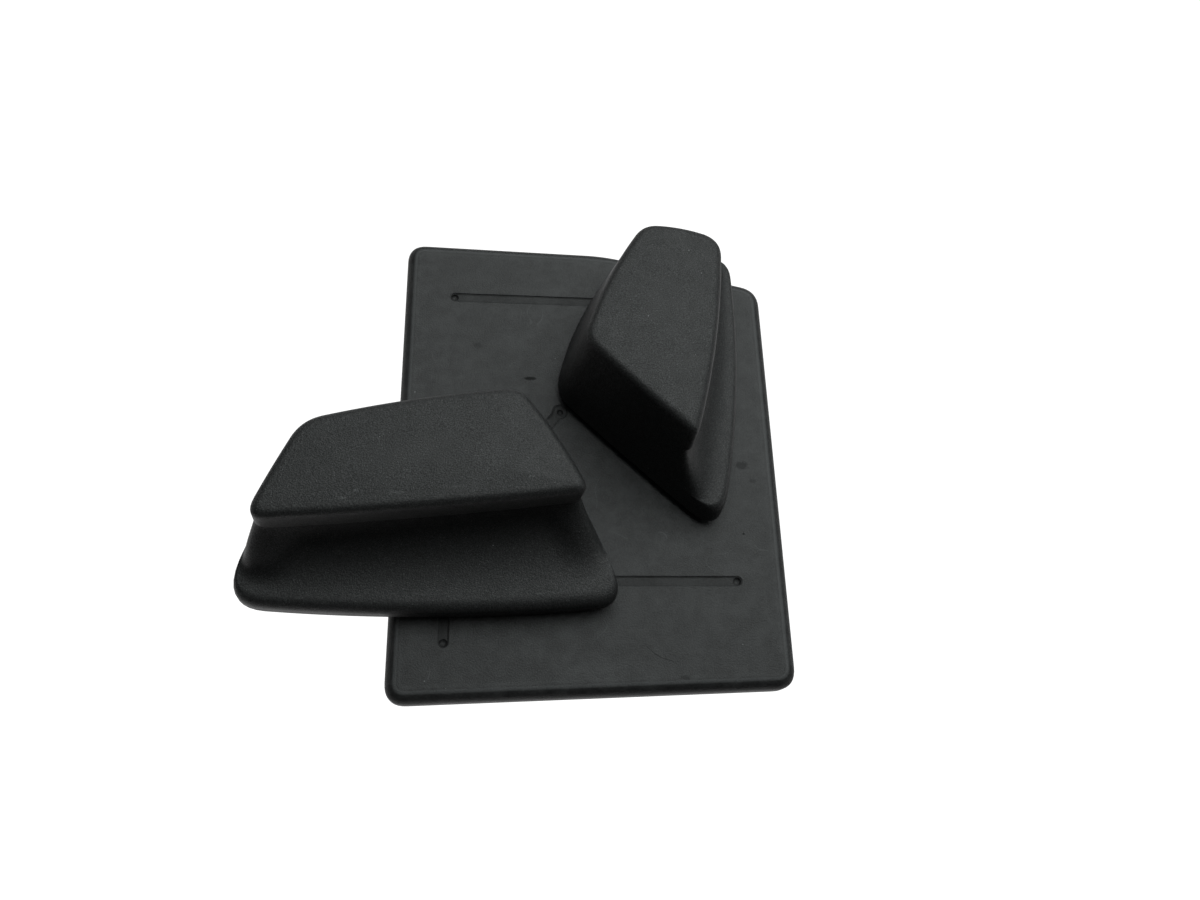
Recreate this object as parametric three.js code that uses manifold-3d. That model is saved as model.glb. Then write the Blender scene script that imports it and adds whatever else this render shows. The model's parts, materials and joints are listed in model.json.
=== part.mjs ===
// Power seat adjuster switch panel, in millimetres with +Z out of the faceplate.
// While it is being built, the faceplate's top face is z = 0 and its lower left corner is the origin.
// The last lines move the whole part so that its origin is the bottom centre of its box.
import * as THREE from 'three';
import { mergeVertices } from 'three/addons/utils/BufferGeometryUtils.js';
import Module from 'manifold-3d';

const wasm = await Module();
wasm.setup();

// ---------- driving dimensions ----------
const GAP = 0.3;                    // clearance between neighbouring pieces

const PLATE = { left: 0.3, right: 64.8, thick: 4, cornerCut: 3.4, edgeRound: 2 };
const PLATE_CORNERS = [
  [PLATE.left, 0.4], [PLATE.right, 2.1], [PLATE.right, 74.8], [36, 80.9], [PLATE.left, 81.5],
];
const LINE = { width: 1.6, depth: 0.24, dimpleRadius: 0.66, dimpleDepth: 0.6, margin: 8.7 };
const LINE_Y = { recline: 70.3, foreAft: 19.2, frontLift: 9.5 };
const HIP_MARK = { x: 27.4, y: 48.6, headRadius: 1.3, dimpleRadius: 0.55, width: 1.8, length: 10, angle: 51 };

const KNOB = { base: 1.5, flange: 3.7, top: 19, edge: 1.4, crown: 0.4, wall: 2.2 };
const SCOOP = { low: 5.6, high: 13.2, lip: 13.9, flangeShare: 0.83, undercut: 0.06 };
const RING = { sideSteps: 4, cornerSteps: 3, roundSteps: 3, scoopSteps: 5 };

// Corners run anticlockwise from the scoop side's first corner. A bow is how far a side bulges, a cut
// is how far a corner's rounding reaches, and closed is how far the scoop is closed at its two ends.
const CUSHION = {
  top: [[-18.3, 23.4], [30.4, 28.1], [19.9, 44.6], [-11.5, 38.6]],
  base: [[-23.5, 14.6], [36.9, 14.6], [21.3, 46], [-13.2, 39.7]],
  topBows: [0.4, 0.6, 0.7, 0.2],
  baseBows: [1.5, 1.5, 0.8, 1.2],
  topCuts: [3.7, 3.2, 2.4, 3],
  baseCuts: [6, 4.5, 4, 4],
  closed: [0.5, 0.4],
};
const BACKREST = {
  top: [[46.7, 36.9], [53, 72.3], [40, 74.6], [29.6, 53.1]],
  base: [[53.1, 26.4], [58.1, 78.2], [38, 77], [26.4, 51.1]],
  topBows: [1.2, 0.8, 1, 0.2],
  baseBows: [2, 0.8, 1.8, 0.3],
  topCuts: [3.6, 3, 2.2, 2.4],
  baseCuts: [6, 3.2, 4, 3],
  closed: [0.5, 0.3],
};

// The box under the plate. The plate's underside has a recess that the box's top edge enters.
const CASE = { x: [2, 61], y: [5, 70], wall: 1.8, corner: 3, top: -3.9, bottom: -26 };
const RECESS = { margin: GAP, ceiling: CASE.top + GAP };
const POCKET = { ceiling: -2.6, corner: 2 };
const DECK = { top: -6, bottom: -8 };
const COVER = { top: -26.3, bottom: -28.5, lipTop: -24.5, lipThick: 1.2, lipEnd: 14, pegRadius: 1.6 };
const COVER_PEG_AT = [[12, 17], [50, 17], [50, 55], [12, 50]];
const SHUTTER = { top: -4.5, bottom: -5.3, corner: 1.5 };
const WINDOW = { cushionX: 6.3, cushionY: 5.8, leverX: 5.6, leverY: 4.4, corner: 1 };

// The slides hang between the deck and the guide plate.
const SLIDE = { top: -8.4, bottom: -12, travelX: 2, travelY: 2 };
const GUIDE = { top: -15.5, bottom: -17, x: [4.3, 58.7], y: [14, 61] };
const BOARD = { top: -20, bottom: -21.6, tongueX: [14, 49], tongueY: 67.4 };
const LEG = { bottom: -18.8, halfX: 1, halfY: 0.8 };

const STEM = { x: 15.5, y: 34, halfX: 3.5, halfY: 3, journal: 4, collar: 4.9, boss: 2.6, leg: 1.3 };
const STEM_STEP = { collar: -13.4, boss: -15.2, pegOut: 3.6, pegRadius: 0.9 };
const SPIGOT = { top: 11.5, recessLow: 6, recessHalf: 2, recessDepth: 1 };
const SOCKET = { wall: 1.2, low: 4, high: 17, roof: 12.7, ribLow: 10, ribHalf: 0.6 };
const CLIP_THICK = 0.4;
const CARRIAGE = { halfX: 9.2, halfY: 14, innerX: 6.4, innerY: 11.3 };
const CARRIAGE_LEG = { x: 22.5, y: 21.5 };
const CARRIAGE_PEG = { x: 29, y: 35.5, top: -8.7, radius: 1.1 };
const YOKE = { halfX: 6.1, halfY: 6.5, seatRadius: 1, pegRadius: 0.9, pegBottom: -15, legY: STEM.y + 6.1 };
const PIVOT = { x: 40.5, y: 46, arm: 11, pin: 2, pinHead: 3.2, turn: THREE.MathUtils.degToRad(-10) };
const LEVER = { halfWidth: 5.6, tail: 2.5, legOut: 3 };
const RECLINE_SPRING = { leverPeg: 5, fixedPeg: 7.4, pegRadius: 1, z: -12.8 };
const SLIDE_SPRING_POST = { x: 29, y: 24, radius: 1.9 };
const FIXED_PEG = { x: 29, y: 31.5, bottom: -11, radius: 1.1 };
const WIPER = { halfLength: 4, halfWidth: 1, thick: 0.25, rise: 0.55 };

const BOSS = { radius: 2.8, bottom: -12, top: -2, hole: 1.2, holeTop: -2.4 };
const POST = { radius: 3, hole: 1.5, webHalf: 1.6 };
const CASE_SCREW = { shank: 1, head: 2.4, headTop: -27.2, headBottom: -28.3, tip: -3.2 };
const CASE_SCREW_AT = [[8, 10.6], [55, 10.6], [55, 64.4], [8, 64.4]];
const GUIDE_SCREW = { shank: 0.9, head: 2, headThick: 1.1, tip: -10, post: 2.5, postBottom: -15.2 };
const GUIDE_SCREW_AT = [[34, 17], [52, 30], [22, 57]];

const TERMINAL = {
  count: 8, first: 22, pitch: 3, width: 1.5, thick: 0.8, z: -23.6, pinY: 64.5, tipY: 73.6, pinRadius: 0.5,
};
const TERMINAL_SLOT = { x: [20.5, 45], z: [-25, -22.4] };
const SHROUD = { x: [19, 46], y: [70.3, 78], z: [-27.8, -19.2], wall: 1.4, keyX: [24, 41], latchX: 32.5 };
const PANEL_CLIP = { thick: 0.6, width: 9, y: 37.5, foot: -24 };

// ---------- materials ----------
const plastic = (hex, roughness) => new THREE.MeshStandardMaterial({ color: hex, roughness, metalness: 0 });
const metal = (hex, roughness) => new THREE.MeshStandardMaterial({ color: hex, roughness, metalness: 1 });
const LOOK = {
  faceplate: plastic(0x2b2d2d, 0.6),
  knob: plastic(0x282a2a, 0.7),
  caseBlack: plastic(0x1c1d1e, 0.55),
  slide: plastic(0xd8d4c6, 0.5),
  stem: plastic(0x2f3132, 0.5),
  shutter: plastic(0x1a1a1a, 0.65),
  board: plastic(0x2e6b3c, 0.5),
  shroud: plastic(0x3a3d40, 0.5),
  steel: metal(0x9a9da0, 0.35),
  spring: metal(0xb8babb, 0.3),
  bronze: metal(0xb98a4a, 0.35),
  tin: metal(0xc9cccd, 0.3),
};

// ---------- solid helpers ----------
function closedMesh(geometry) {
  const bare = new THREE.BufferGeometry();
  bare.setAttribute('position', geometry.getAttribute('position'));
  if (geometry.index) bare.setIndex(geometry.index);
  return mergeVertices(bare, 1e-4);
}

function toSolid(geometry) {
  const merged = closedMesh(geometry);
  const vertProperties = new Float32Array(merged.getAttribute('position').array);
  const triVerts = new Uint32Array(merged.index.array);
  return new wasm.Manifold(new wasm.Mesh({ numProp: 3, vertProperties, triVerts }));
}

function toGeometry(solid) {
  const mesh = solid.getMesh();
  const geometry = new THREE.BufferGeometry();
  geometry.setAttribute('position', new THREE.BufferAttribute(new Float32Array(mesh.vertProperties), 3));
  geometry.setIndex(Array.from(mesh.triVerts));
  return geometry;
}

function join(first, ...rest) {
  return toGeometry(rest.reduce((sum, next) => sum.add(toSolid(next)), toSolid(first)));
}

function cut(first, ...rest) {
  return toGeometry(rest.reduce((left, next) => left.subtract(toSolid(next)), toSolid(first)));
}

function block([x0, x1], [y0, y1], [z0, z1]) {
  const geometry = new THREE.BoxGeometry(x1 - x0, y1 - y0, z1 - z0);
  return geometry.translate((x0 + x1) / 2, (y0 + y1) / 2, (z0 + z1) / 2);
}

const around = (centre, half) => [centre - half, centre + half];

function rod(x, y, [z0, z1], radius, sides = 16) {
  const geometry = new THREE.CylinderGeometry(radius, radius, z1 - z0, sides);
  return geometry.rotateX(Math.PI / 2).translate(x, y, (z0 + z1) / 2);
}

// A shape in the XY plane, made solid between two heights.
function extruded(shape, [z0, z1], curveSegments) {
  const settings = { depth: z1 - z0, bevelEnabled: false, curveSegments };
  return new THREE.ExtrudeGeometry(shape, settings).translate(0, 0, z0);
}

// A flat plate with rounded corners, between two heights.
function roundedPlate([x0, x1], [y0, y1], z, radius) {
  const shape = new THREE.Shape();
  shape.absarc(x1 - radius, y0 + radius, radius, -Math.PI / 2, 0);
  shape.absarc(x1 - radius, y1 - radius, radius, 0, Math.PI / 2);
  shape.absarc(x0 + radius, y1 - radius, radius, Math.PI / 2, Math.PI);
  shape.absarc(x0 + radius, y0 + radius, radius, Math.PI, Math.PI * 1.5);
  return extruded(shape, z, 4);
}

// A bar with round ends from one point to another.
function roundBar([ax, ay], [bx, by], z, radius, sides) {
  const length = Math.hypot(bx - ax, by - ay);
  const shape = new THREE.Shape();
  shape.absarc(0, 0, radius, Math.PI / 2, Math.PI * 1.5);
  shape.absarc(length, 0, radius, -Math.PI / 2, Math.PI / 2);
  return extruded(shape, z, sides / 2).rotateZ(Math.atan2(by - ay, bx - ax)).translate(ax, ay, 0);
}

// One ring of points round bowed sides with softened corners, moved inwards by inset.
function bowedRing(corners, bows, cuts, inset, z) {
  const points = [];
  const at = (k) => new THREE.Vector2(...corners[k % corners.length]);
  const sides = corners.map((corner, k) => {
    const start = at(k);
    const end = at(k + 1);
    const along = end.clone().sub(start);
    const outward = new THREE.Vector2(along.y, -along.x).normalize();
    const control = start.clone().lerp(end, 0.5).addScaledVector(outward, 2 * bows[k]);
    const low = cuts[k] / along.length();
    const high = 1 - cuts[(k + 1) % cuts.length] / along.length();
    return { curve: new THREE.QuadraticBezierCurve(start, control, end), low, high };
  });
  sides.forEach(({ curve, low, high }, k) => {
    for (let step = 0; step <= RING.sideSteps; step += 1) {
      points.push(curve.getPoint(THREE.MathUtils.lerp(low, high, step / RING.sideSteps)));
    }
    const next = sides[(k + 1) % sides.length];
    const turn = new THREE.QuadraticBezierCurve(points.at(-1), at(k + 1), next.curve.getPoint(next.low));
    for (let step = 1; step < RING.cornerSteps; step += 1) {
      points.push(turn.getPoint(step / RING.cornerSteps));
    }
  });
  return points.map((point, k) => {
    const before = points.at(k - 1);
    const after = points[(k + 1) % points.length];
    const inward = new THREE.Vector2(before.y - after.y, after.x - before.x).normalize();
    const moved = point.clone().addScaledVector(inward, inset);
    return new THREE.Vector3(moved.x, moved.y, z);
  });
}

// A closed surface through a list of rings, closed by a fan at each end.
function loft(rings, endRise = 0) {
  const count = rings[0].length;
  const centre = (ring, rise) => {
    const middle = ring.reduce((sum, point) => sum.add(point), new THREE.Vector3()).divideScalar(count);
    return middle.setZ(middle.z + rise);
  };
  const points = [...rings.flat(), centre(rings[0], 0), centre(rings.at(-1), endRise)];
  const startCentre = points.length - 2;
  const endCentre = points.length - 1;
  const lastRing = (rings.length - 1) * count;
  const index = [];
  for (let k = 0; k < count; k += 1) {
    const next = (k + 1) % count;
    index.push(startCentre, next, k, endCentre, lastRing + k, lastRing + next);
    for (let ring = 0; ring < rings.length - 1; ring += 1) {
      const low = ring * count;
      const high = low + count;
      index.push(low + k, low + next, high + next, low + k, high + next, high + k);
    }
  }
  const geometry = new THREE.BufferGeometry().setFromPoints(points);
  geometry.setIndex(index);
  return geometry;
}

// The quarter circle that rounds an edge: how far in and how far up each step goes.
function edgeRound(radius, steps) {
  return Array.from({ length: steps }, (_, k) => {
    const angle = ((k + 1) / steps) * (Math.PI / 2);
    return { inset: radius * (1 - Math.cos(angle)), rise: radius * Math.sin(angle) };
  });
}

const inner = ([low, high], by) => [low + by, high - by];

// The housing's outline moved inwards, between two heights.
const caseOutline = (by, z, corner) => roundedPlate(inner(CASE.x, by), inner(CASE.y, by), z, corner);

// ---------- faceplate ----------
function plateRing(inset, z) {
  const each = (value) => PLATE_CORNERS.map(() => value);
  return bowedRing(PLATE_CORNERS, each(0), each(PLATE.cornerCut), inset, z);
}

// A recessed line that ends in a round dimple at its first point.
function travelLine(dimple, end) {
  const { width, depth, dimpleRadius, dimpleDepth } = LINE;
  return [
    roundBar(dimple, end, [-depth, 1], width / 2, 8),
    rod(...dimple, [-dimpleDepth, 1], dimpleRadius, 12),
  ];
}

function travelLines() {
  const left = PLATE.left + LINE.margin;
  const right = PLATE.right - LINE.margin;
  const slope = THREE.MathUtils.degToRad(HIP_MARK.angle);
  const hipEnd = [
    HIP_MARK.x - HIP_MARK.length * Math.cos(slope),
    HIP_MARK.y - HIP_MARK.length * Math.sin(slope),
  ];
  return [
    ...travelLine([left, LINE_Y.recline], [38, LINE_Y.recline]),
    ...travelLine([right, LINE_Y.foreAft], [27, LINE_Y.foreAft]),
    ...travelLine([left, LINE_Y.frontLift], [left, 24]),
    roundBar([HIP_MARK.x, HIP_MARK.y], hipEnd, [-LINE.depth, 1], HIP_MARK.width / 2, 8),
    rod(HIP_MARK.x, HIP_MARK.y, [-LINE.depth, 1], HIP_MARK.headRadius, 16),
    rod(HIP_MARK.x, HIP_MARK.y, [-LINE.dimpleDepth, 1], HIP_MARK.dimpleRadius, 8),
  ];
}

// Places a shape drawn round the backrest pivot, with +Y along the knob.
const onLever = (geometry) => geometry.rotateZ(PIVOT.turn).translate(PIVOT.x, PIVOT.y, 0);

function stemWindows(z) {
  const { cushionX, cushionY, leverX, leverY, corner } = WINDOW;
  return [
    roundedPlate(around(STEM.x, cushionX), around(STEM.y, cushionY), z, corner),
    onLever(roundedPlate(around(0, leverX), around(PIVOT.arm, leverY), z, corner)),
  ];
}

function faceplate() {
  const rounding = edgeRound(PLATE.edgeRound, RING.roundSteps);
  const straight = -PLATE.edgeRound;
  const rings = [plateRing(0, -PLATE.thick), plateRing(0, straight)];
  rounding.forEach(({ inset, rise }) => rings.push(plateRing(inset, straight + rise)));
  const below = -PLATE.thick - 1;
  const recess = caseOutline(-RECESS.margin, [below, RECESS.ceiling], CASE.corner + RECESS.margin);
  const pocket = caseOutline(CASE.wall, [below, POCKET.ceiling], POCKET.corner);
  const bosses = CASE_SCREW_AT.map(([x, y]) => rod(x, y, [BOSS.bottom, BOSS.top], BOSS.radius));
  const pilotZ = [BOSS.bottom - 1, BOSS.holeTop];
  const pilots = CASE_SCREW_AT.map(([x, y]) => rod(x, y, pilotZ, BOSS.hole, 12));
  const lightened = cut(loft(rings), recess, pocket);
  return cut(join(lightened, ...bosses), ...pilots, ...stemWindows([below, 1]), ...travelLines());
}

// ---------- knobs ----------
function between(low, high, share) {
  return low.map((value, k) => THREE.MathUtils.lerp(value, high[k], share));
}

// Where the line from a to b crosses the line from c to d.
function crossing([ax, ay], [bx, by], [cx, cy], [dx, dy]) {
  const [ux, uy, vx, vy] = [bx - ax, by - ay, dx - cx, dy - cy];
  const share = ((cx - ax) * vy - (cy - ay) * vx) / (ux * vy - uy * vx);
  return [ax + ux * share, ay + uy * share];
}

// 0 at the scoop's foot and at its lip, 1 in the middle of its curve.
function scoopHollow(z) {
  const across = THREE.MathUtils.clamp((SCOOP.high - z) / (SCOOP.high - SCOOP.low), 0, 1);
  return 2 * across * Math.sqrt(1 - across * across);
}

// The outline at one height: drafted walls, and the scoop side between them moved out by its own share.
function knobRing(knob, scoopShare, draftShare, inset, z) {
  const walls = knob.top.map((corner, k) => between(corner, knob.base[k], draftShare));
  const scoop = [0, 1].map((k) => between(knob.top[k], knob.base[k], scoopShare));
  const through = [crossing(walls[3], walls[0], ...scoop), crossing(walls[1], walls[2], ...scoop)];
  const corners = walls.map((wall, k) => {
    return k < 2 ? between(through[k], wall, knob.closed[k] * scoopHollow(z)) : wall;
  });
  const mixed = (top, base, shares) => top.map((value, k) => THREE.MathUtils.lerp(value, base[k], shares[k]));
  const bows = mixed(knob.topBows, knob.baseBows, [scoopShare, draftShare, draftShare, draftShare]);
  const cuts = mixed(knob.topCuts, knob.baseCuts, [scoopShare, scoopShare, draftShare, draftShare]);
  return bowedRing(corners, bows, cuts, inset, z);
}

const shoulder = KNOB.top - KNOB.edge;
const draftAt = (z) => (shoulder - z) / (shoulder - KNOB.base);

// Heights and shares up the scoop side, from the flange's top to the lip.
function scoopSteps() {
  return Array.from({ length: RING.scoopSteps + 1 }, (_, k) => {
    const angle = (k / RING.scoopSteps) * (Math.PI / 2);
    const share = SCOOP.flangeShare - (SCOOP.flangeShare + SCOOP.undercut) * Math.sin(angle);
    return { share, z: SCOOP.low + (SCOOP.high - SCOOP.low) * (1 - Math.cos(angle)) };
  });
}

function knobShell(knob) {
  const outside = (share, z, inset = 0) => knobRing(knob, share, Math.max(draftAt(z), 0), inset, z);
  const inside = (share, z) => outside(share, z, KNOB.wall);
  const scoop = scoopSteps();
  const ceiling = KNOB.top - KNOB.wall;
  const rings = [outside(-0.02, ceiling, KNOB.wall + 0.6), inside(-SCOOP.undercut, ceiling - 1)];
  [...scoop].reverse().forEach(({ share, z }) => rings.push(inside(share, z - KNOB.wall + 0.4)));
  rings.push(inside(0.96, KNOB.base), outside(0.98, KNOB.base), outside(1, KNOB.base + 0.5));
  rings.push(outside(1, KNOB.flange + 0.4), outside(0.95, SCOOP.low - 0.4));
  scoop.forEach(({ share, z }) => rings.push(outside(share, z)));
  rings.push(outside(0, SCOOP.lip), outside(0, shoulder));
  edgeRound(KNOB.edge, RING.roundSteps).forEach(({ inset, rise }) => {
    rings.push(outside(0, shoulder + rise, inset));
  });
  return loft(rings, KNOB.crown);
}

// The hollow post inside a knob that takes the stem's spigot.
function socketParts(x, y) {
  const { wall, low, high } = SOCKET;
  const outer = { x: STEM.halfX + GAP + wall, y: STEM.halfY + GAP + wall };
  return {
    post: block(around(x, outer.x), around(y, outer.y), [low, high]),
    bore: block(around(x, outer.x - wall), around(y, outer.y - wall), [low - 1, SOCKET.roof]),
  };
}

const knobRib = (x, y) => block(x, y, [SOCKET.ribLow, SOCKET.high]);

function cushionKnob() {
  const { post, bore } = socketParts(STEM.x, STEM.y);
  const ribs = [-5, 5].map((x) => knobRib(around(x, SOCKET.ribHalf), [28.5, 39]));
  const tie = knobRib([-8, STEM.x], around(STEM.y, SOCKET.ribHalf));
  return cut(join(knobShell(CUSHION), post, tie, ...ribs), bore);
}

function backrestKnob() {
  const { post, bore } = socketParts(0, PIVOT.arm);
  const tie = knobRib(around(0, SOCKET.ribHalf), [1, 24]);
  return cut(join(knobShell(BACKREST), onLever(post), onLever(tie)), onLever(bore));
}

// ---------- housing and covers ----------
// Ribs under the deck that guide the carriage's two ends.
function slideGuides() {
  const reach = CARRIAGE.halfY + GAP;
  return [-1, 1].map((side) => {
    const edges = [side * reach, side * (reach + 1.2)].sort((a, b) => a - b);
    return block([CASE.x[0] + 1, 28], edges.map((edge) => STEM.y + edge), [SLIDE.bottom, DECK.bottom + 0.5]);
  });
}

// The posts that the case screws pass through, each tied to the nearer side wall.
function screwPosts() {
  const z = [CASE.bottom, BOSS.bottom - GAP];
  const middle = (CASE.x[0] + CASE.x[1]) / 2;
  return CASE_SCREW_AT.flatMap(([x, y]) => {
    const wallX = x < middle ? CASE.x[0] + 1 : CASE.x[1] - 1;
    const web = block([Math.min(x, wallX), Math.max(x, wallX)], around(y, POST.webHalf), z);
    return [rod(x, y, z, POST.radius), web];
  });
}

function housing() {
  const inDeck = DECK.bottom + 1;
  const shell = cut(
    caseOutline(0, [CASE.bottom, CASE.top], CASE.corner),
    caseOutline(CASE.wall, [CASE.bottom - 1, DECK.bottom], POCKET.corner),
    caseOutline(CASE.wall, [DECK.top, CASE.top + 1], POCKET.corner),
  );
  const guidePostZ = [GUIDE_SCREW.postBottom, inDeck];
  const guidePosts = GUIDE_SCREW_AT.map(([x, y]) => rod(x, y, guidePostZ, GUIDE_SCREW.post));
  const post = SLIDE_SPRING_POST;
  const pegs = [
    rod(post.x, post.y, [SLIDE.bottom, inDeck], post.radius, 12),
    rod(FIXED_PEG.x, FIXED_PEG.y, [FIXED_PEG.bottom, inDeck], FIXED_PEG.radius, 12),
  ];
  const body = join(shell, ...screwPosts(), ...guidePosts, ...pegs, ...slideGuides());
  const throughDeck = [DECK.bottom - 1, DECK.top + 1];
  const screwHoles = CASE_SCREW_AT.map(([x, y]) => rod(x, y, [CASE.bottom - 1, -11], POST.hole, 12));
  const bossHoles = CASE_SCREW_AT.map(([x, y]) => rod(x, y, throughDeck, BOSS.radius + GAP));
  const guideHoles = GUIDE_SCREW_AT.map(([x, y]) => rod(x, y, [-16, -9.5], GUIDE_SCREW.shank + GAP, 12));
  const pinHole = rod(PIVOT.x, PIVOT.y, throughDeck, PIVOT.pin + GAP);
  const terminalSlot = block(TERMINAL_SLOT.x, [CASE.y[1] - 3, CASE.y[1] + 1], TERMINAL_SLOT.z);
  const holes = [...screwHoles, ...bossHoles, ...guideHoles, pinHole, terminalSlot];
  return cut(body, ...holes, ...stemWindows(throughDeck));
}

function bottomCover() {
  const plate = caseOutline(0, [COVER.bottom, COVER.top], CASE.corner);
  const pegTop = BOARD.bottom - GAP;
  const pegs = COVER_PEG_AT.map(([x, y]) => rod(x, y, [COVER.top - 1, pegTop], COVER.pegRadius, 12));
  const lipAt = CASE.wall + GAP + COVER.lipThick / 2;
  const lipZ = [COVER.top - 1, COVER.lipTop];
  const acrossLip = (centre) => around(centre, COVER.lipThick / 2);
  const lips = [
    block(inner(CASE.x, COVER.lipEnd), acrossLip(CASE.y[0] + lipAt), lipZ),
    block(acrossLip(CASE.x[0] + lipAt), inner(CASE.y, COVER.lipEnd), lipZ),
    block(acrossLip(CASE.x[1] - lipAt), inner(CASE.y, COVER.lipEnd), lipZ),
  ];
  const holes = CASE_SCREW_AT.flatMap(([x, y]) => [
    rod(x, y, [COVER.bottom - 1, COVER.top + 1], POST.hole, 12),
    rod(x, y, [COVER.bottom - 1, CASE_SCREW.headTop + GAP], CASE_SCREW.head + GAP),
  ]);
  return cut(join(plate, ...pegs, ...lips), ...holes);
}

function guidePlate() {
  const { travelX, travelY } = SLIDE;
  const plate = roundedPlate(GUIDE.x, GUIDE.y, [GUIDE.bottom, GUIDE.top], 1.5);
  const rails = [-1, 1].map((side) => {
    const y = STEM.y + side * (CARRIAGE.halfY - 0.9);
    return block([5, 27], around(y, 0.8), [GUIDE.top - 0.5, SLIDE.bottom - GAP]);
  });
  const pegZ = [GUIDE.top - 0.5, SLIDE.bottom - 0.5];
  const peg = onLever(rod(0, RECLINE_SPRING.fixedPeg, pegZ, RECLINE_SPRING.pegRadius, 12));
  const through = [GUIDE.bottom - 1, GUIDE.top + 1.5];
  const stemSlot = block(
    around(STEM.x, STEM.leg + travelX + 0.5),
    [STEM.y - STEM.leg - travelY - 0.5, YOKE.legY + LEG.halfY + travelY + 0.5],
    [GUIDE.bottom - 1, GUIDE.top + 0.2],
  );
  const carriageSlot = block(
    around(CARRIAGE_LEG.x, LEG.halfX + travelX + 0.5),
    around(CARRIAGE_LEG.y, LEG.halfY + 0.5),
    [GUIDE.bottom - 1, SLIDE.bottom + 1],
  );
  const leverSlot = onLever(roundedPlate(around(0, 3.6), around(PIVOT.arm + LEVER.legOut, 1.7), through, 1));
  const pinHole = rod(PIVOT.x, PIVOT.y, through, PIVOT.pin + GAP);
  const screwHoles = GUIDE_SCREW_AT.map(([x, y]) => rod(x, y, through, GUIDE_SCREW.shank + 0.4, 12));
  return cut(join(plate, ...rails, peg), stemSlot, carriageSlot, leverSlot, pinHole, ...screwHoles);
}

function screw(x, y, { shank, head }, [tip, headTop, headBottom]) {
  const body = join(rod(x, y, [headTop - 0.2, tip], shank, 8), rod(x, y, [headBottom, headTop], head, 12));
  const armLength = 0.62 * head;
  const armWidth = 0.13 * head;
  const armZ = [headBottom - 1, headBottom + 0.6];
  const driver = [
    block(around(x, armLength), around(y, armWidth), armZ),
    block(around(x, armWidth), around(y, armLength), armZ),
  ];
  return cut(body, ...driver);
}

// ---------- cushion mechanism ----------
// The leg that reaches down through the guide plate and presses a wiper on the board.
const legAt = (x, y) => block(around(x, LEG.halfX), around(y, LEG.halfY), [LEG.bottom, SLIDE.bottom + 0.5]);

const throughSlide = [SLIDE.bottom - 1, SLIDE.top + 1];

function foreAftCarriage() {
  const frame = cut(
    block(around(STEM.x, CARRIAGE.halfX), around(STEM.y, CARRIAGE.halfY), [SLIDE.bottom, SLIDE.top]),
    block(around(STEM.x, CARRIAGE.innerX), around(STEM.y, CARRIAGE.innerY), throughSlide),
  );
  const { x, y, top, radius } = CARRIAGE_PEG;
  const armX = [STEM.x + CARRIAGE.halfX - 0.5, x + 1.2];
  const arm = block(armX, around(y, 1.2), [SLIDE.bottom, SLIDE.bottom + 1.4]);
  const peg = rod(x, y, [SLIDE.bottom, top], radius, 12);
  return join(frame, arm, peg, legAt(CARRIAGE_LEG.x, CARRIAGE_LEG.y));
}

function liftYoke() {
  const slab = block(around(STEM.x, YOKE.halfX), around(STEM.y, YOKE.halfY), [SLIDE.bottom, SLIDE.top]);
  const seats = [-1, 1].map((side) => {
    return rod(STEM.x, 0, around(0, 0.6), YOKE.seatRadius, 10).rotateX(Math.PI / 2)
      .translate(0, STEM.y + side * (YOKE.halfY + 0.4), (SLIDE.top + SLIDE.bottom) / 2);
  });
  const pegZ = [YOKE.pegBottom, SLIDE.bottom + 0.1];
  const peg = rod(STEM.x, STEM.y - YOKE.halfY + 0.3, pegZ, YOKE.pegRadius, 10);
  const bored = cut(slab, rod(STEM.x, STEM.y, throughSlide, STEM.journal + GAP, 24));
  return join(bored, ...seats, legAt(STEM.x, YOKE.legY), peg);
}

// The spigot with a shallow recess on two sides for its spring clip.
function spigot(x, y, low) {
  const body = block(around(x, STEM.halfX), around(y, STEM.halfY), [low, SPIGOT.top]);
  const recesses = [-1, 1].map((side) => {
    const edges = [side * (STEM.halfY - SPIGOT.recessDepth), side * (STEM.halfY + 1)].sort((a, b) => a - b);
    const recessY = edges.map((edge) => y + edge);
    return block(around(x, SPIGOT.recessHalf), recessY, [SPIGOT.recessLow, SPIGOT.top + 1]);
  });
  return cut(body, ...recesses);
}

function cushionStem() {
  const { x, y } = STEM;
  const { collar, boss, pegOut, pegRadius } = STEM_STEP;
  return join(
    spigot(x, y, SLIDE.top + GAP),
    rod(x, y, [SLIDE.bottom - GAP - 0.2, SLIDE.top + GAP + 0.1], STEM.journal, 24),
    rod(x, y, [collar, SLIDE.bottom - GAP], STEM.collar, 24),
    rod(x, y, [boss, collar + 0.2], STEM.boss, 16),
    rod(x, y, [LEG.bottom, boss + 0.2], STEM.leg, 12),
    rod(x, y - pegOut, [boss + 0.1, collar + 0.2], pegRadius, 12),
  );
}

// A thin plate with a square hole for the spigot.
function shutter(x, y, halfX, halfY) {
  const { top, bottom, corner } = SHUTTER;
  const plate = roundedPlate(around(x, halfX), around(y, halfY), [bottom, top], corner);
  const through = [bottom - 1, top + 1];
  return cut(plate, block(around(x, STEM.halfX + GAP), around(y, STEM.halfY + GAP), through));
}

const cushionShutter = () => shutter(STEM.x, STEM.y, WINDOW.cushionX + 2.6, WINDOW.cushionY + 2.6);

// A U of spring steel over the end of a spigot.
function knobClip(x, y) {
  const legY = STEM.halfY - GAP;
  const top = SPIGOT.top + GAP;
  const half = SPIGOT.recessHalf - GAP;
  const legZ = [SPIGOT.recessLow + GAP, top + CLIP_THICK / 2];
  return join(
    block(around(x, half), around(y, legY), [top, top + CLIP_THICK]),
    block(around(x, half), [y - legY, y - legY + CLIP_THICK], legZ),
    block(around(x, half), [y + legY - CLIP_THICK, y + legY], legZ),
  );
}

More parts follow.
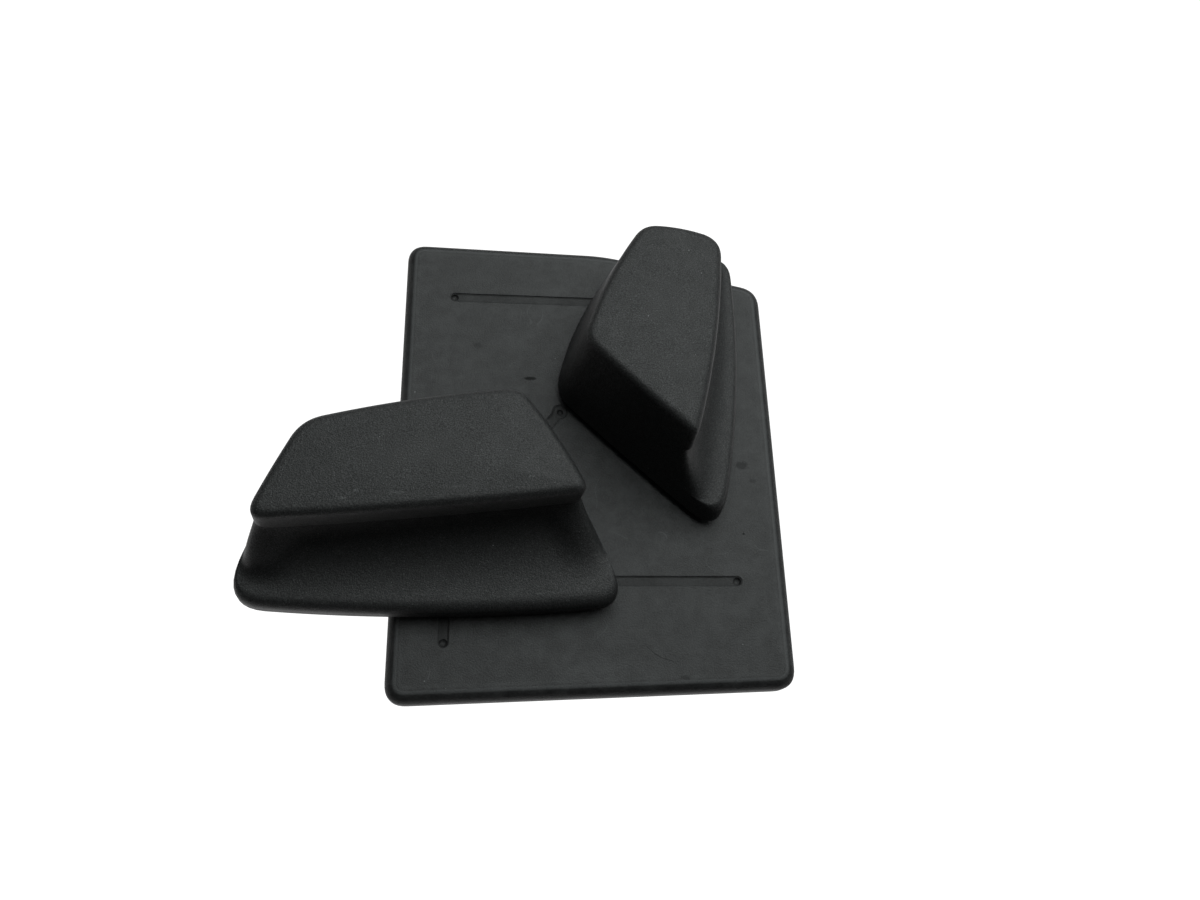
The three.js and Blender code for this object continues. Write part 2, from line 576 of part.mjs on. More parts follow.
// ---------- backrest mechanism, drawn round its pivot ----------
function backrestLever() {
  const { arm, pin } = PIVOT;
  const body = join(
    roundBar([0, 0], [0, arm + LEVER.tail], [SLIDE.bottom, SLIDE.top], LEVER.halfWidth, 16),
    spigot(0, arm, SLIDE.top - 0.5),
    rod(0, RECLINE_SPRING.leverPeg, [STEM_STEP.collar, SLIDE.bottom + 0.5], RECLINE_SPRING.pegRadius, 12),
    legAt(0, arm + LEVER.legOut),
  );
  return onLever(cut(body, rod(0, 0, throughSlide, pin + GAP, 20)));
}

function reclinePin() {
  const { x, y, pin, pinHead } = PIVOT;
  const headTop = GUIDE.bottom - GAP;
  return join(
    rod(x, y, [headTop - 0.2, DECK.top - GAP], pin, 20),
    rod(x, y, [headTop - 1, headTop], pinHead, 20),
  );
}

const backrestShutter = () => onLever(shutter(0, PIVOT.arm, WINDOW.leverX + 1.8, WINDOW.leverY + 1.2));

// ---------- springs and contacts ----------
function wire(curve, radius, steps, sides) {
  const section = new THREE.Shape();
  section.absarc(0, 0, radius, 0, Math.PI * 2);
  return new THREE.ExtrudeGeometry(section, { steps, curveSegments: sides / 2, extrudePath: curve });
}

// A flat hairpin: a wire round a post at the origin, with both ends straight along +Y.
class HairpinCurve extends THREE.Curve {
  constructor(radius, halfGap, length) {
    super();
    this.radius = radius;
    this.halfGap = halfGap;
    this.neck = radius * 1.5;
    this.legLength = length - this.neck;
    this.open = THREE.MathUtils.degToRad(42);
    this.mouth = new THREE.Vector2(radius * Math.sin(this.open), radius * Math.cos(this.open));
    this.throat = Math.hypot(this.mouth.x - halfGap, this.neck - this.mouth.y);
    this.arc = radius * (2 * Math.PI - 2 * this.open);
    this.total = 2 * (this.legLength + this.throat) + this.arc;
  }

  // One half is the mirror image of the other, so only the distance from the middle counts.
  getPoint(t, target = new THREE.Vector3()) {
    const walked = Math.abs(t - 0.5) * this.total;
    const side = t < 0.5 ? -1 : 1;
    const halfArc = this.arc / 2;
    if (walked < halfArc) {
      const angle = walked / this.radius;
      return target.set(side * this.radius * Math.sin(angle), -this.radius * Math.cos(angle), 0);
    }
    const share = Math.min((walked - halfArc) / this.throat, 1);
    const x = THREE.MathUtils.lerp(this.mouth.x, this.halfGap, share);
    const y = THREE.MathUtils.lerp(this.mouth.y, this.neck, share);
    return target.set(side * x, y + Math.max(walked - halfArc - this.throat, 0), 0);
  }
}

const hairpin = (radius, halfGap, length) => wire(new HairpinCurve(radius, halfGap, length), 0.3, 44, 6);

class HelixCurve extends THREE.Curve {
  constructor(radius, height, turns) {
    super();
    Object.assign(this, { radius, height, turns });
  }

  getPoint(t, target = new THREE.Vector3()) {
    const angle = t * this.turns * Math.PI * 2;
    return target.set(this.radius * Math.cos(angle), t * this.height, this.radius * Math.sin(angle));
  }
}

// A bronze leaf: fixed at its middle, with both ends arched down to the board.
function wiperLeaf() {
  const { halfLength, halfWidth, thick, rise } = WIPER;
  const end = halfLength - 0.8;
  const bend = halfLength - 1.6;
  const shape = new THREE.Shape();
  shape.moveTo(-halfLength, 0);
  shape.lineTo(-end, 0);
  shape.quadraticCurveTo(-bend, rise - thick, -1, rise - thick);
  shape.lineTo(1, rise - thick);
  shape.quadraticCurveTo(bend, rise - thick, end, 0);
  shape.lineTo(halfLength, 0);
  shape.lineTo(halfLength, thick);
  shape.lineTo(end, thick);
  shape.quadraticCurveTo(bend, rise, 1, rise);
  shape.lineTo(-1, rise);
  shape.quadraticCurveTo(-bend, rise, -end, thick);
  shape.lineTo(-halfLength, thick);
  shape.closePath();
  return extruded(shape, [0, 2 * halfWidth], 4).rotateX(Math.PI / 2).translate(0, halfWidth, BOARD.top + GAP);
}

function terminalColumns() {
  return Array.from({ length: TERMINAL.count }, (_, k) => TERMINAL.first + k * TERMINAL.pitch);
}

function contactBoard() {
  const z = [BOARD.bottom, BOARD.top];
  const tongue = block(BOARD.tongueX, [GUIDE.y[1] - 2, BOARD.tongueY], z);
  const plate = join(roundedPlate(GUIDE.x, GUIDE.y, z, 1), tongue);
  const through = [BOARD.bottom - 1, BOARD.top + 1];
  const holes = terminalColumns().map((x) => rod(x, TERMINAL.pinY, through, TERMINAL.pinRadius + 0.45, 10));
  return cut(plate, ...holes);
}

function terminal(x) {
  const { width, thick, z, pinY, tipY, pinRadius } = TERMINAL;
  return join(
    rod(x, pinY, [z - thick / 2, BOARD.top + 0.8], pinRadius, 8),
    block(around(x, width / 2), [pinY - 0.7, tipY], around(z, thick / 2)),
  );
}

function connectorShroud() {
  const { x, y, z, wall, keyX, latchX } = SHROUD;
  const mouth = block(inner(x, wall), [y[0] + wall, y[1] + 1], inner(z, wall));
  const slots = terminalColumns().map((column) => {
    const slotX = around(column, TERMINAL.width / 2 + GAP);
    return block(slotX, [y[0] - 1, y[0] + wall + 1], around(TERMINAL.z, TERMINAL.thick / 2 + GAP));
  });
  const keys = keyX.map((key) => block(around(key, 0.7), inner(y, 1), [z[1] - 0.5, z[1] + 1]));
  const latch = block(around(latchX, 2.5), [y[1] - 3, y[1] - 1.2], [z[1] - 0.5, z[1] + 1.2]);
  return cut(join(block(x, y, z), ...keys, latch), mouth, ...slots);
}

// A leaf of spring steel that bulges out from the housing's side wall.
function panelClip(side) {
  const { thick, width, y, foot } = PANEL_CLIP;
  const path = new THREE.SplineCurve([
    new THREE.Vector2(0.4, -8), new THREE.Vector2(1.0, -10.5), new THREE.Vector2(2.6, -13.5),
    new THREE.Vector2(2.2, -17), new THREE.Vector2(0.5, -22),
  ]);
  const outside = path.getPoints(8);
  const inside = outside.map((point) => new THREE.Vector2(point.x - thick, point.y)).reverse();
  const heel = [new THREE.Vector2(0.5, foot), new THREE.Vector2(-0.2, foot)];
  const shape = new THREE.Shape([...outside, ...heel, ...inside]);
  const leaf = extruded(shape, [-width / 2, width / 2], 1).rotateX(Math.PI / 2).translate(thick, 0, 0);
  if (side < 0) return leaf.rotateZ(Math.PI).translate(CASE.x[0], y, 0);
  return leaf.translate(CASE.x[1], y, 0);
}

// ---------- assembly ----------
const panel = new THREE.Group();

function add(name, geometry, material) {
  const mesh = new THREE.Mesh(geometry, material);
  mesh.name = name;
  panel.add(mesh);
  return mesh;
}

add('faceplate', faceplate(), LOOK.faceplate);
add('housing', housing(), LOOK.caseBlack);
add('bottom_cover', bottomCover(), LOOK.caseBlack);
add('guide_plate', guidePlate(), LOOK.slide);
add('contact_board', contactBoard(), LOOK.board);
add('connector_shroud', connectorShroud(), LOOK.shroud);
terminalColumns().forEach((x, k) => add(`terminal_${k + 1}`, terminal(x), LOOK.tin));
CASE_SCREW_AT.forEach(([x, y], k) => {
  const { tip, headTop, headBottom } = CASE_SCREW;
  add(`case_screw_${k + 1}`, screw(x, y, CASE_SCREW, [tip, headTop, headBottom]), LOOK.steel);
});
GUIDE_SCREW_AT.forEach(([x, y], k) => {
  const { tip, headThick } = GUIDE_SCREW;
  const headTop = GUIDE.bottom - GAP;
  add(`guide_screw_${k + 1}`, screw(x, y, GUIDE_SCREW, [tip, headTop, headTop - headThick]), LOOK.steel);
});
add('panel_clip_left', panelClip(-1), LOOK.spring);
add('panel_clip_right', panelClip(1), LOOK.spring);

add('fore_aft_carriage', foreAftCarriage(), LOOK.slide);
add('lift_yoke', liftYoke(), LOOK.slide);
add('cushion_stem', cushionStem(), LOOK.stem);
add('cushion_dust_shutter', cushionShutter(), LOOK.shutter);
add('cushion_knob', cushionKnob(), LOOK.knob);
add('cushion_knob_clip', knobClip(STEM.x, STEM.y), LOOK.spring);

add('backrest_lever', backrestLever(), LOOK.stem);
add('recline_pivot_pin', reclinePin(), LOOK.steel);
add('backrest_dust_shutter', backrestShutter(), LOOK.shutter);
add('backrest_knob', backrestKnob(), LOOK.knob);
add('backrest_knob_clip', onLever(knobClip(0, PIVOT.arm)), LOOK.spring);

const slideSpring = add('fore_aft_return_spring', hairpin(2.5, 1.75, 14.5), LOOK.spring);
slideSpring.position.set(SLIDE_SPRING_POST.x, SLIDE_SPRING_POST.y, -9.6);
const tiltSpring = add('tilt_return_spring', hairpin(3.3, 1.65, 7.6), LOOK.spring);
tiltSpring.position.set(STEM.x, STEM.y, -14.1);
tiltSpring.rotation.z = Math.PI;
const reclineSpring = add('recline_return_spring', hairpin(2.9, 1.6, 9.6), LOOK.spring);
reclineSpring.position.set(PIVOT.x, PIVOT.y, RECLINE_SPRING.z);
reclineSpring.rotation.z = PIVOT.turn;

const liftRoom = CARRIAGE.innerY - YOKE.halfY - 2 * GAP;
['front', 'rear'].forEach((place, k) => {
  const helix = new HelixCurve(1.6, liftRoom - 0.6, 4);
  const spring = add(`lift_return_spring_${place}`, wire(helix, 0.25, 48, 6), LOOK.spring);
  const start = k === 0 ? STEM.y - CARRIAGE.innerY : STEM.y + YOKE.halfY;
  spring.position.set(STEM.x, start + GAP + 0.3, (SLIDE.top + SLIDE.bottom) / 2);
});

add('fore_aft_wiper', wiperLeaf(), LOOK.bronze).position.set(CARRIAGE_LEG.x, CARRIAGE_LEG.y, 0);
add('lift_wiper', wiperLeaf(), LOOK.bronze).position.set(STEM.x, YOKE.legY, 0);
add('tilt_wiper', wiperLeaf(), LOOK.bronze).position.set(STEM.x, STEM.y, 0);
add('recline_wiper', onLever(wiperLeaf().translate(0, PIVOT.arm + LEVER.legOut, 0)), LOOK.bronze);

// The origin goes to the bottom centre of the whole part's box.
panel.updateMatrixWorld(true);
const box = new THREE.Box3().setFromObject(panel);
panel.position.set(-(box.min.x + box.max.x) / 2, -(box.min.y + box.max.y) / 2, -box.min.z);

export default panel;
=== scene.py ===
"""Looks for a car's power seat adjuster switch: a faceplate with two knobs shaped like a seat.

Shapes are worked out in millimetres in the faceplate's own frame: its top face is z = 0, +X runs to the
right, +Y runs up the backrest, and the origin is near its lower left corner. PLACE moves them into the
frame's metres.
"""
import json
import math

import bmesh
import bpy
from mathutils import Matrix, Vector

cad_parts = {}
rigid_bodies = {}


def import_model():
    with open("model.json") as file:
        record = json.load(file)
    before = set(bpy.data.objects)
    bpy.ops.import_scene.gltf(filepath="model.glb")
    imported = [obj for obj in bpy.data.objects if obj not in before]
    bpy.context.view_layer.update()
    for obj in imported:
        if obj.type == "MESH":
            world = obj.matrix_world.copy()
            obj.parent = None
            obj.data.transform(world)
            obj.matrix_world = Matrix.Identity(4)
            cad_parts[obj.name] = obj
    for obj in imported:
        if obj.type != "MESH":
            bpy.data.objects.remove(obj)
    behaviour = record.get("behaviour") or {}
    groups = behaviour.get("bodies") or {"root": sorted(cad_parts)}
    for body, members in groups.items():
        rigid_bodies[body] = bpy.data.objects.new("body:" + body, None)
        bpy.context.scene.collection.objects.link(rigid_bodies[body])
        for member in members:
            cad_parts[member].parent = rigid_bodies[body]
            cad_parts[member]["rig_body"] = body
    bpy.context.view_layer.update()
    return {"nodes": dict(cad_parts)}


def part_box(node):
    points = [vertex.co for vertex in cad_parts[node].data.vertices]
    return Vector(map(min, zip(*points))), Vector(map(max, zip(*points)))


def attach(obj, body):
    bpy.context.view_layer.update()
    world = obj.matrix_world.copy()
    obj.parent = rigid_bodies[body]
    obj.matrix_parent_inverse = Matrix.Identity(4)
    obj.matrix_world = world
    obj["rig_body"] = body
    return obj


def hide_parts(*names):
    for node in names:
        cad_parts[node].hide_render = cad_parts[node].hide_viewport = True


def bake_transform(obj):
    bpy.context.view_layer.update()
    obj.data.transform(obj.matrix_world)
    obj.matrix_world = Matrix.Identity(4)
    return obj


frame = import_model()

# ---------- driving dimensions, in millimetres ----------
MM = 0.001
GAP = 0.3  # clearance between neighbouring pieces
CLEAR = 1  # how far a cutter runs past what it cuts

PLATE = {"left": 0.3, "right": 64.8, "thick": 4, "corner_cut": 3.4, "edge_round": 2}
PLATE_CORNERS = [
    (PLATE["left"], 0.4),
    (PLATE["right"], 2.1),
    (PLATE["right"], 74.8),
    (36, 80.9),
    (PLATE["left"], 81.5),
]
# The underside's small rounding: how far in and how far up each ring is.
UNDER_EDGE = [(0.35, 0), (0.1, 0.1), (0, 0.35)]
# How worn the face is, by the distance in from the edge's rounding.
WEAR = {0.0: 0.25, 0.35: 1.0, 0.8: 0.0}
CASE_X, CASE_Y = (2, 61), (5, 70)
CASE = {"wall": 1.8, "corner": 3, "top": -3.9, "pocket_corner": 2, "pocket": -2.6}

# The travel lines. A dimple's rim stands a little above the foot of its line.
LINE = {"half": 0.8, "depth": 0.24, "margin": 8.7, "lip": 0.16, "lip_stretch": 1.1}
LINE_FOOT = [(-0.3, 0), (-0.16, 0.02), (-0.06, 0.08)]
DIMPLE = {"radius": 0.66, "depth": 0.6, "rim": 0.03}
DIMPLE_BOWL = (0.2, 0.45, 0.65, 0.8, 0.92)
LINE_Y = {"recline": 70.3, "fore_aft": 19.2, "front_lift": 9.5}
LINE_ENDS = {"recline": 38, "fore_aft": 27, "front_lift": 24}
HIP = {"x": 27.4, "y": 48.6, "half": 0.9, "length": 10, "angle": 51}
HIP_HEAD = {"radius": 1.3, "length": 0.02, "dimple": 0.55}

# Heights on a knob. A share is a part of the way from a knob's top outline (0) to its base outline (1).
KNOB = {"base": 1.5, "flange": 3.7, "top": 19, "edge": 1.4, "crown": 0.4, "wall": 2.2}
SHOULDER = KNOB["top"] - KNOB["edge"]
SHARPEST = 0.35  # the smallest corner cut that an inset leaves
SCOOP = {"low": 5.6, "high": 13.2, "lip": 13.9, "flange_share": 0.83, "undercut": 0.06, "fade": 5}
LIP_EDGE = 0.12  # the upright edge between the scoop and the lip's rounding
CEILING = {"share": -0.02, "inset": 0.6, "fall": 1, "lift": 0.4}
RIM = {"inner_share": 0.96, "foot_share": 0.97, "outer_share": 0.98, "round": 0.35}
RIM_ROUND = [(0.1, 0.24), (0.2, 0.31), (0.35, 0.35)]
CROWN_REACH = 0.97  # how far towards its middle the crowned top closes

# Both knobs' corners run anticlockwise, the scoop side first.
# closed says how far the scoop's two ends are filled.
CUSHION = {
    "top": [(-18.3, 23.4), (30.4, 28.1), (19.9, 44.6), (-11.5, 38.6)],
    "base": [(-23.5, 14.6), (36.9, 14.6), (21.3, 46), (-13.2, 39.7)],
    "top_bows": (0.4, 0.6, 0.7, 0.2),
    "base_bows": (1.5, 1.5, 0.8, 1.2),
    "top_cuts": (3.7, 2.4, 2.4, 3),
    "base_cuts": (6, 4.5, 4, 4),
    "closed": (0.5, 0.3),
}
BACKREST = {
    "top": [(46.7, 36.9), (53, 72.3), (40, 74.6), (29.6, 53.1)],
    "base": [(53.1, 26.4), (58.1, 78.2), (38, 77), (26.4, 51.1)],
    "top_bows": (1.2, 0.8, 1.0, 0.2),
    "base_bows": (2, 0.8, 1.8, 0.3),
    "top_cuts": (1.8, 3, 2.2, 2.4),
    "base_cuts": (6, 3.2, 4, 3),
    "closed": (0.15, 0.3),
}

# How many steps each curve is drawn with.
SIDE_STEPS = 36
CORNER_STEPS = 9
ROUND_STEPS = 7
SCOOP_STEPS = 18
LIP_STEPS = 4
CROWN_STEPS = 6
PLATE_EDGE_STEPS = 9
LINE_LIP_STEPS = 4
BAR_END_STEPS = 10
DIMPLE_STEPS = 28
HOLE_STEPS = 20

STEM = {"x": 15.5, "y": 34, "half_x": 3.5, "half_y": 3}
PIVOT = {"x": 40.5, "y": 46, "arm": 11, "turn": math.radians(-10)}
SOCKET = {"wall": 1.2, "low": 4, "high": 17, "roof": 12.7, "corner": 0.6, "bore_corner": 0.25}
RIB = {"low": 10, "half": 0.6}
CUSHION_RIBS = {"spine_start": -8, "across_at": (-5, 5), "across": (28.5, 39)}
BACKREST_RIB = (1, 24)
WINDOW = {"cushion": (6.3, 5.8), "lever": (5.6, 4.4), "corner": 1}
BOSS = {"radius": 2.8, "bottom": -12, "top": -2, "hole": 1.2, "hole_top": -2.4}
SCREW_AT = [(8, 10.6), (55, 10.6), (55, 64.4), (8, 64.4)]

# How surfaces are shaded, welded and rounded: angles in radians, the weld distance in metres.
SHARP_ANGLE = math.radians(34)
BEVEL_ANGLE = math.radians(35)
FLAT_ANGLE = math.radians(1)
WELD = 2e-6
ROUNDING = 0.12
WIDE_ROUNDING = {"housing": 0.35, "bottom_cover": 0.35, "connector_shroud": 0.25}

# The first case screw and the faceplate's top place the faceplate's own frame.
screw_low, screw_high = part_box("case_screw_1")
ORIGIN = Vector((
    (screw_low.x + screw_high.x) / 2 - SCREW_AT[0][0] * MM,
    (screw_low.y + screw_high.y) / 2 - SCREW_AT[0][1] * MM,
    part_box("faceplate")[1].z,
))
PLACE = Matrix.Translation(ORIGIN) @ Matrix.Scale(MM, 4)
ON_LEVER = Matrix.Translation((PIVOT["x"], PIVOT["y"], 0)) @ Matrix.Rotation(PIVOT["turn"], 4, "Z")


# ---------- small helpers ----------
def lerp(low, high, share):
    return low + (high - low) * share


def smooth(share):
    share = min(max(share, 0), 1)
    return share * share * (3 - 2 * share)


def mix_points(low, high, share):
    return (lerp(low[0], high[0], share), lerp(low[1], high[1], share))


def crossing(a, b, c, d):
    """Where the line from a to b crosses the line from c to d."""
    along, across = b - a, d - c
    return a + along * ((c - a).cross(across) / along.cross(across))


def bezier(start, control, end, t):
    return start * (1 - t) ** 2 + control * 2 * t * (1 - t) + end * t ** 2


def around(centre, half):
    return (centre - half, centre + half)


# ---------- outlines ----------
def inset_corner(before, corner, after, inset):
    """The corner moved in from both its sides, and how much of each side's rounding that takes away."""
    first, second = (corner - before).normalized(), (after - corner).normalized()
    inward = Vector((-first.y - second.y, first.x + second.x))
    half_turn = first.angle(second) / 2
    moved = corner + inward.normalized() * inset / math.cos(half_turn)
    return moved, inset * math.tan(half_turn)


def side_points(start, end, bow, first_cut, last_cut):
    """Points along one bowed side between its two corner cuts, closer together near the corners."""
    along = end - start
    outward = Vector((along.y, -along.x)).normalized()
    control = (start + end) / 2 + outward * 2 * bow
    low, high = first_cut / along.length, 1 - last_cut / along.length
    shares = [(1 - math.cos(math.pi * step / SIDE_STEPS)) / 2 for step in range(SIDE_STEPS + 1)]
    return [bezier(start, control, end, lerp(low, high, share)) for share in shares]


def bowed_ring(corners, bows, cuts, inset, z):
    """One ring of points round bowed sides with softened corners, moved inwards by inset."""
    corners = [Vector(corner) for corner in corners]
    after = [(k + 1) % len(corners) for k in range(len(corners))]
    moved = [
        inset_corner(corners[k - 1], corner, corners[after[k]], inset)
        for k, corner in enumerate(corners)
    ]
    cuts = [max(cut - lost, SHARPEST) for cut, (_, lost) in zip(cuts, moved)]
    corners = [corner for corner, _ in moved]
    sides = [
        side_points(corners[k], corners[after[k]], bows[k], cuts[k], cuts[after[k]])
        for k in range(len(corners))
    ]
    ring = []
    for k, side in enumerate(sides):
        tip, arrive = corners[after[k]], sides[after[k]][0]
        ring += side
        ring += [bezier(side[-1], tip, arrive, step / CORNER_STEPS) for step in range(1, CORNER_STEPS)]
    return [point.to_3d() + Vector((0, 0, z)) for point in ring]


def round_outline(x, y, corner, steps=6):
    """A rectangle with round corners, anticlockwise."""
    points = []
    centres = [
        (x[1] - corner, y[0] + corner),
        (x[1] - corner, y[1] - corner),
        (x[0] + corner, y[1] - corner),
        (x[0] + corner, y[0] + corner),
    ]
    for k, (cx, cy) in enumerate(centres):
        for step in range(steps + 1):
            angle = math.radians(90 * (k - 1 + step / steps))
            points.append((cx + corner * math.cos(angle), cy + corner * math.sin(angle)))
    return points


def bar_outline(start, end, radius):
    """A bar with round ends, anticlockwise."""
    heading = math.atan2(end[1] - start[1], end[0] - start[0])
    points = []
    for centre, turn in ((start, math.pi / 2), (end, -math.pi / 2)):
        for step in range(BAR_END_STEPS + 1):
            angle = heading + turn + math.pi * step / BAR_END_STEPS
            points.append((centre[0] + radius * math.cos(angle), centre[1] + radius * math.sin(angle)))
    return points


def circle(x, y, radius, steps=32):
    turns = (2 * math.pi * step / steps for step in range(steps))
    return [(x + radius * math.cos(turn), y + radius * math.sin(turn)) for turn in turns]


def quarter(radius, steps=ROUND_STEPS):
    """The quarter circle that rounds an edge: how far in and how far up each step goes."""
    angles = [math.pi / 2 * (k + 1) / steps for k in range(steps)]
    return [(radius * (1 - math.cos(angle)), radius * math.sin(angle)) for angle in angles]


# ---------- solids ----------
def loft(rings):
    """A closed mesh through rings of equal length in turn, with a face at each end."""
    bm = bmesh.new()
    made = [[bm.verts.new(point) for point in ring] for ring in rings]
    count = len(rings[0])
    for low, high in zip(made, made[1:]):
        for k in range(count):
            after = (k + 1) % count
            bm.faces.new((low[k], low[after], high[after], high[k]))
    bm.faces.new(list(reversed(made[0])))
    bm.faces.new(made[-1])
    return bm


def prism(outline, z0, z1):
    return loft([[Vector((x, y, z)) for x, y in outline] for z in (z0, z1)])


def block(x, y, z):
    return prism([(x[0], y[0]), (x[1], y[0]), (x[1], y[1]), (x[0], y[1])], *z)


def turned(bm, matrix):
    bm.transform(matrix)
    return bm


def add_to_scene(name, data):
    obj = bpy.data.objects.new(name, data)
    bpy.context.scene.collection.objects.link(obj)
    return obj


def to_object(bm, name="scratch"):
    mesh = bpy.data.meshes.new(name)
    bm.to_mesh(mesh)
    bm.free()
    return add_to_scene(name, mesh)


def combine(target, operation, solids):
    """Joins the solids to the target object, or cuts them from it, one by one."""
    others = [to_object(bm) for bm in solids]
    for other in others:
        step = target.modifiers.new("combine", "BOOLEAN")
        step.operation = operation
        step.solver = "EXACT"
        step.object = other
    depsgraph = bpy.context.evaluated_depsgraph_get()
    mesh = bpy.data.meshes.new_from_object(target.evaluated_get(depsgraph))
    target.modifiers.clear()
    target.data = mesh
    for other in others:
        bpy.data.objects.remove(other)


def finish_piece(obj, name, body, slot, nodes):
    """Moves a piece into the frame, smooths it, gives it its slot's material, puts it on its body and hides
    its CAD nodes.
    """
    obj.data.transform(PLACE)
    obj.name = name
    obj.data.name = name
    obj.data.materials.clear()
    obj.data.materials.append(MATERIALS[slot])
    obj.data.shade_smooth()
    obj.data.set_sharp_from_angle(angle=SHARP_ANGLE)
    shading = obj.modifiers.new("shading", "WEIGHTED_NORMAL")
    shading.keep_sharp = True
    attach(obj, body)
    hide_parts(*nodes)


# ---------- faceplate ----------
def plate_ring(inset, z):
    return bowed_ring(PLATE_CORNERS, (0,) * 5, (PLATE["corner_cut"],) * 5, inset, z)


def groove(start, end, half):
    """A cutter for a travel line: a rounded rim, sloping walls and a soft foot."""
    lip, stretch = LINE["lip"], LINE["lip_stretch"]
    profile = [(half + out, rise - LINE["depth"]) for out, rise in LINE_FOOT]
    rim = [(0, 0)] + quarter(lip, LINE_LIP_STEPS)
    profile += [(half + inset, -lip + stretch * rise) for inset, rise in rim]
    profile.append((half + lip, CLEAR))
    return loft([[Vector((x, y, z)) for x, y in bar_outline(start, end, radius)] for radius, z in profile])


def dimple(x, y, radius):
    """A cutter for a round dimple with a bowl-shaped bottom, in the foot of a travel line."""
    rim = DIMPLE["rim"] - LINE["depth"]
    depth = DIMPLE["depth"] + rim
    profile = [(radius * share, rim - depth * math.sqrt(1 - share ** 2)) for share in DIMPLE_BOWL]
    profile += [(radius, rim), (radius, CLEAR)]
    return loft([[Vector((px, py, z)) for px, py in circle(x, y, r, DIMPLE_STEPS)] for r, z in profile])


def travel_lines():
    """The recessed lines and the dimples that they end in."""
    left, right = PLATE["left"] + LINE["margin"], PLATE["right"] - LINE["margin"]
    lines = [
        ((left, LINE_Y["recline"]), (LINE_ENDS["recline"], LINE_Y["recline"])),
        ((right, LINE_Y["fore_aft"]), (LINE_ENDS["fore_aft"], LINE_Y["fore_aft"])),
        ((left, LINE_Y["front_lift"]), (left, LINE_ENDS["front_lift"])),
    ]
    x, y, slope = HIP["x"], HIP["y"], math.radians(HIP["angle"])
    hip_end = (x - HIP["length"] * math.cos(slope), y - HIP["length"] * math.sin(slope))
    cutters = [groove(start, end, LINE["half"]) for start, end in lines]
    cutters.append(groove((x, y), hip_end, HIP["half"]))
    cutters.append(groove((x, y), (x + HIP_HEAD["length"], y), HIP_HEAD["radius"]))
    cutters += [dimple(*start, DIMPLE["radius"]) for start, _ in lines]
    cutters.append(dimple(x, y, HIP_HEAD["dimple"]))
    return cutters


def stem_windows(z0, z1):
    cushion, lever, corner = WINDOW["cushion"], WINDOW["lever"], WINDOW["corner"]
    around_stem = round_outline(around(STEM["x"], cushion[0]), around(STEM["y"], cushion[1]), corner)
    around_arm = round_outline(around(0, lever[0]), around(PIVOT["arm"], lever[1]), corner)
    return [prism(around_stem, z0, z1), turned(prism(around_arm, z0, z1), ON_LEVER)]


def case_outline(by, corner):
    return round_outline((CASE_X[0] + by, CASE_X[1] - by), (CASE_Y[0] + by, CASE_Y[1] - by), corner)


def plate_rings():
    """The plate's outside from its underside up, each ring with how worn it is."""
    thick, edge = PLATE["thick"], PLATE["edge_round"]
    rings = [(plate_ring(inset, rise - thick), 0) for inset, rise in UNDER_EDGE]
    rings.append((plate_ring(0, -edge), 0))
    rings += [(plate_ring(inset, rise - edge), 0) for inset, rise in quarter(edge, PLATE_EDGE_STEPS)[:-1]]
    rings += [(plate_ring(edge + further, 0), wear) for further, wear in WEAR.items()]
    return rings


def mark_wear(obj, rings):
    """Gives the vertices of the worn rings their wear."""
    worn = {tuple(round(c, 3) for c in point): wear for ring, wear in rings for point in ring}
    layer = obj.data.attributes.new("wear", "FLOAT", "POINT")
    for vertex, item in zip(obj.data.vertices, layer.data):
        item.value = worn.get(tuple(round(c, 3) for c in vertex.co), 0)


def make_faceplate():
    rings = plate_rings()
    obj = to_object(loft([ring for ring, _ in rings]))
    below = -PLATE["thick"] - CLEAR
    recess = prism(case_outline(-GAP, CASE["corner"] + GAP), below, CASE["top"] + GAP)
    pocket = prism(case_outline(CASE["wall"], CASE["pocket_corner"]), below, CASE["pocket"])
    bosses = [prism(circle(x, y, BOSS["radius"]), BOSS["bottom"], BOSS["top"]) for x, y in SCREW_AT]
    pilots = [
        prism(circle(x, y, BOSS["hole"], HOLE_STEPS), BOSS["bottom"] - CLEAR, BOSS["hole_top"])
        for x, y in SCREW_AT
    ]
    combine(obj, "DIFFERENCE", [recess, pocket])
    combine(obj, "UNION", bosses)
    combine(obj, "DIFFERENCE", pilots + stem_windows(below, CLEAR) + travel_lines())
    mark_wear(obj, rings)
    finish_piece(obj, "faceplate_moulding", "panel", "faceplate_plastic", ["faceplate"])


# ---------- knobs ----------
def scoop_hollow(z):
    """0 at the scoop's foot and at its lip, 1 in the middle of its curve."""
    across = min(max((SCOOP["high"] - z) / (SCOOP["high"] - SCOOP["low"]), 0), 1)
    return 2 * across * math.sqrt(1 - across ** 2)


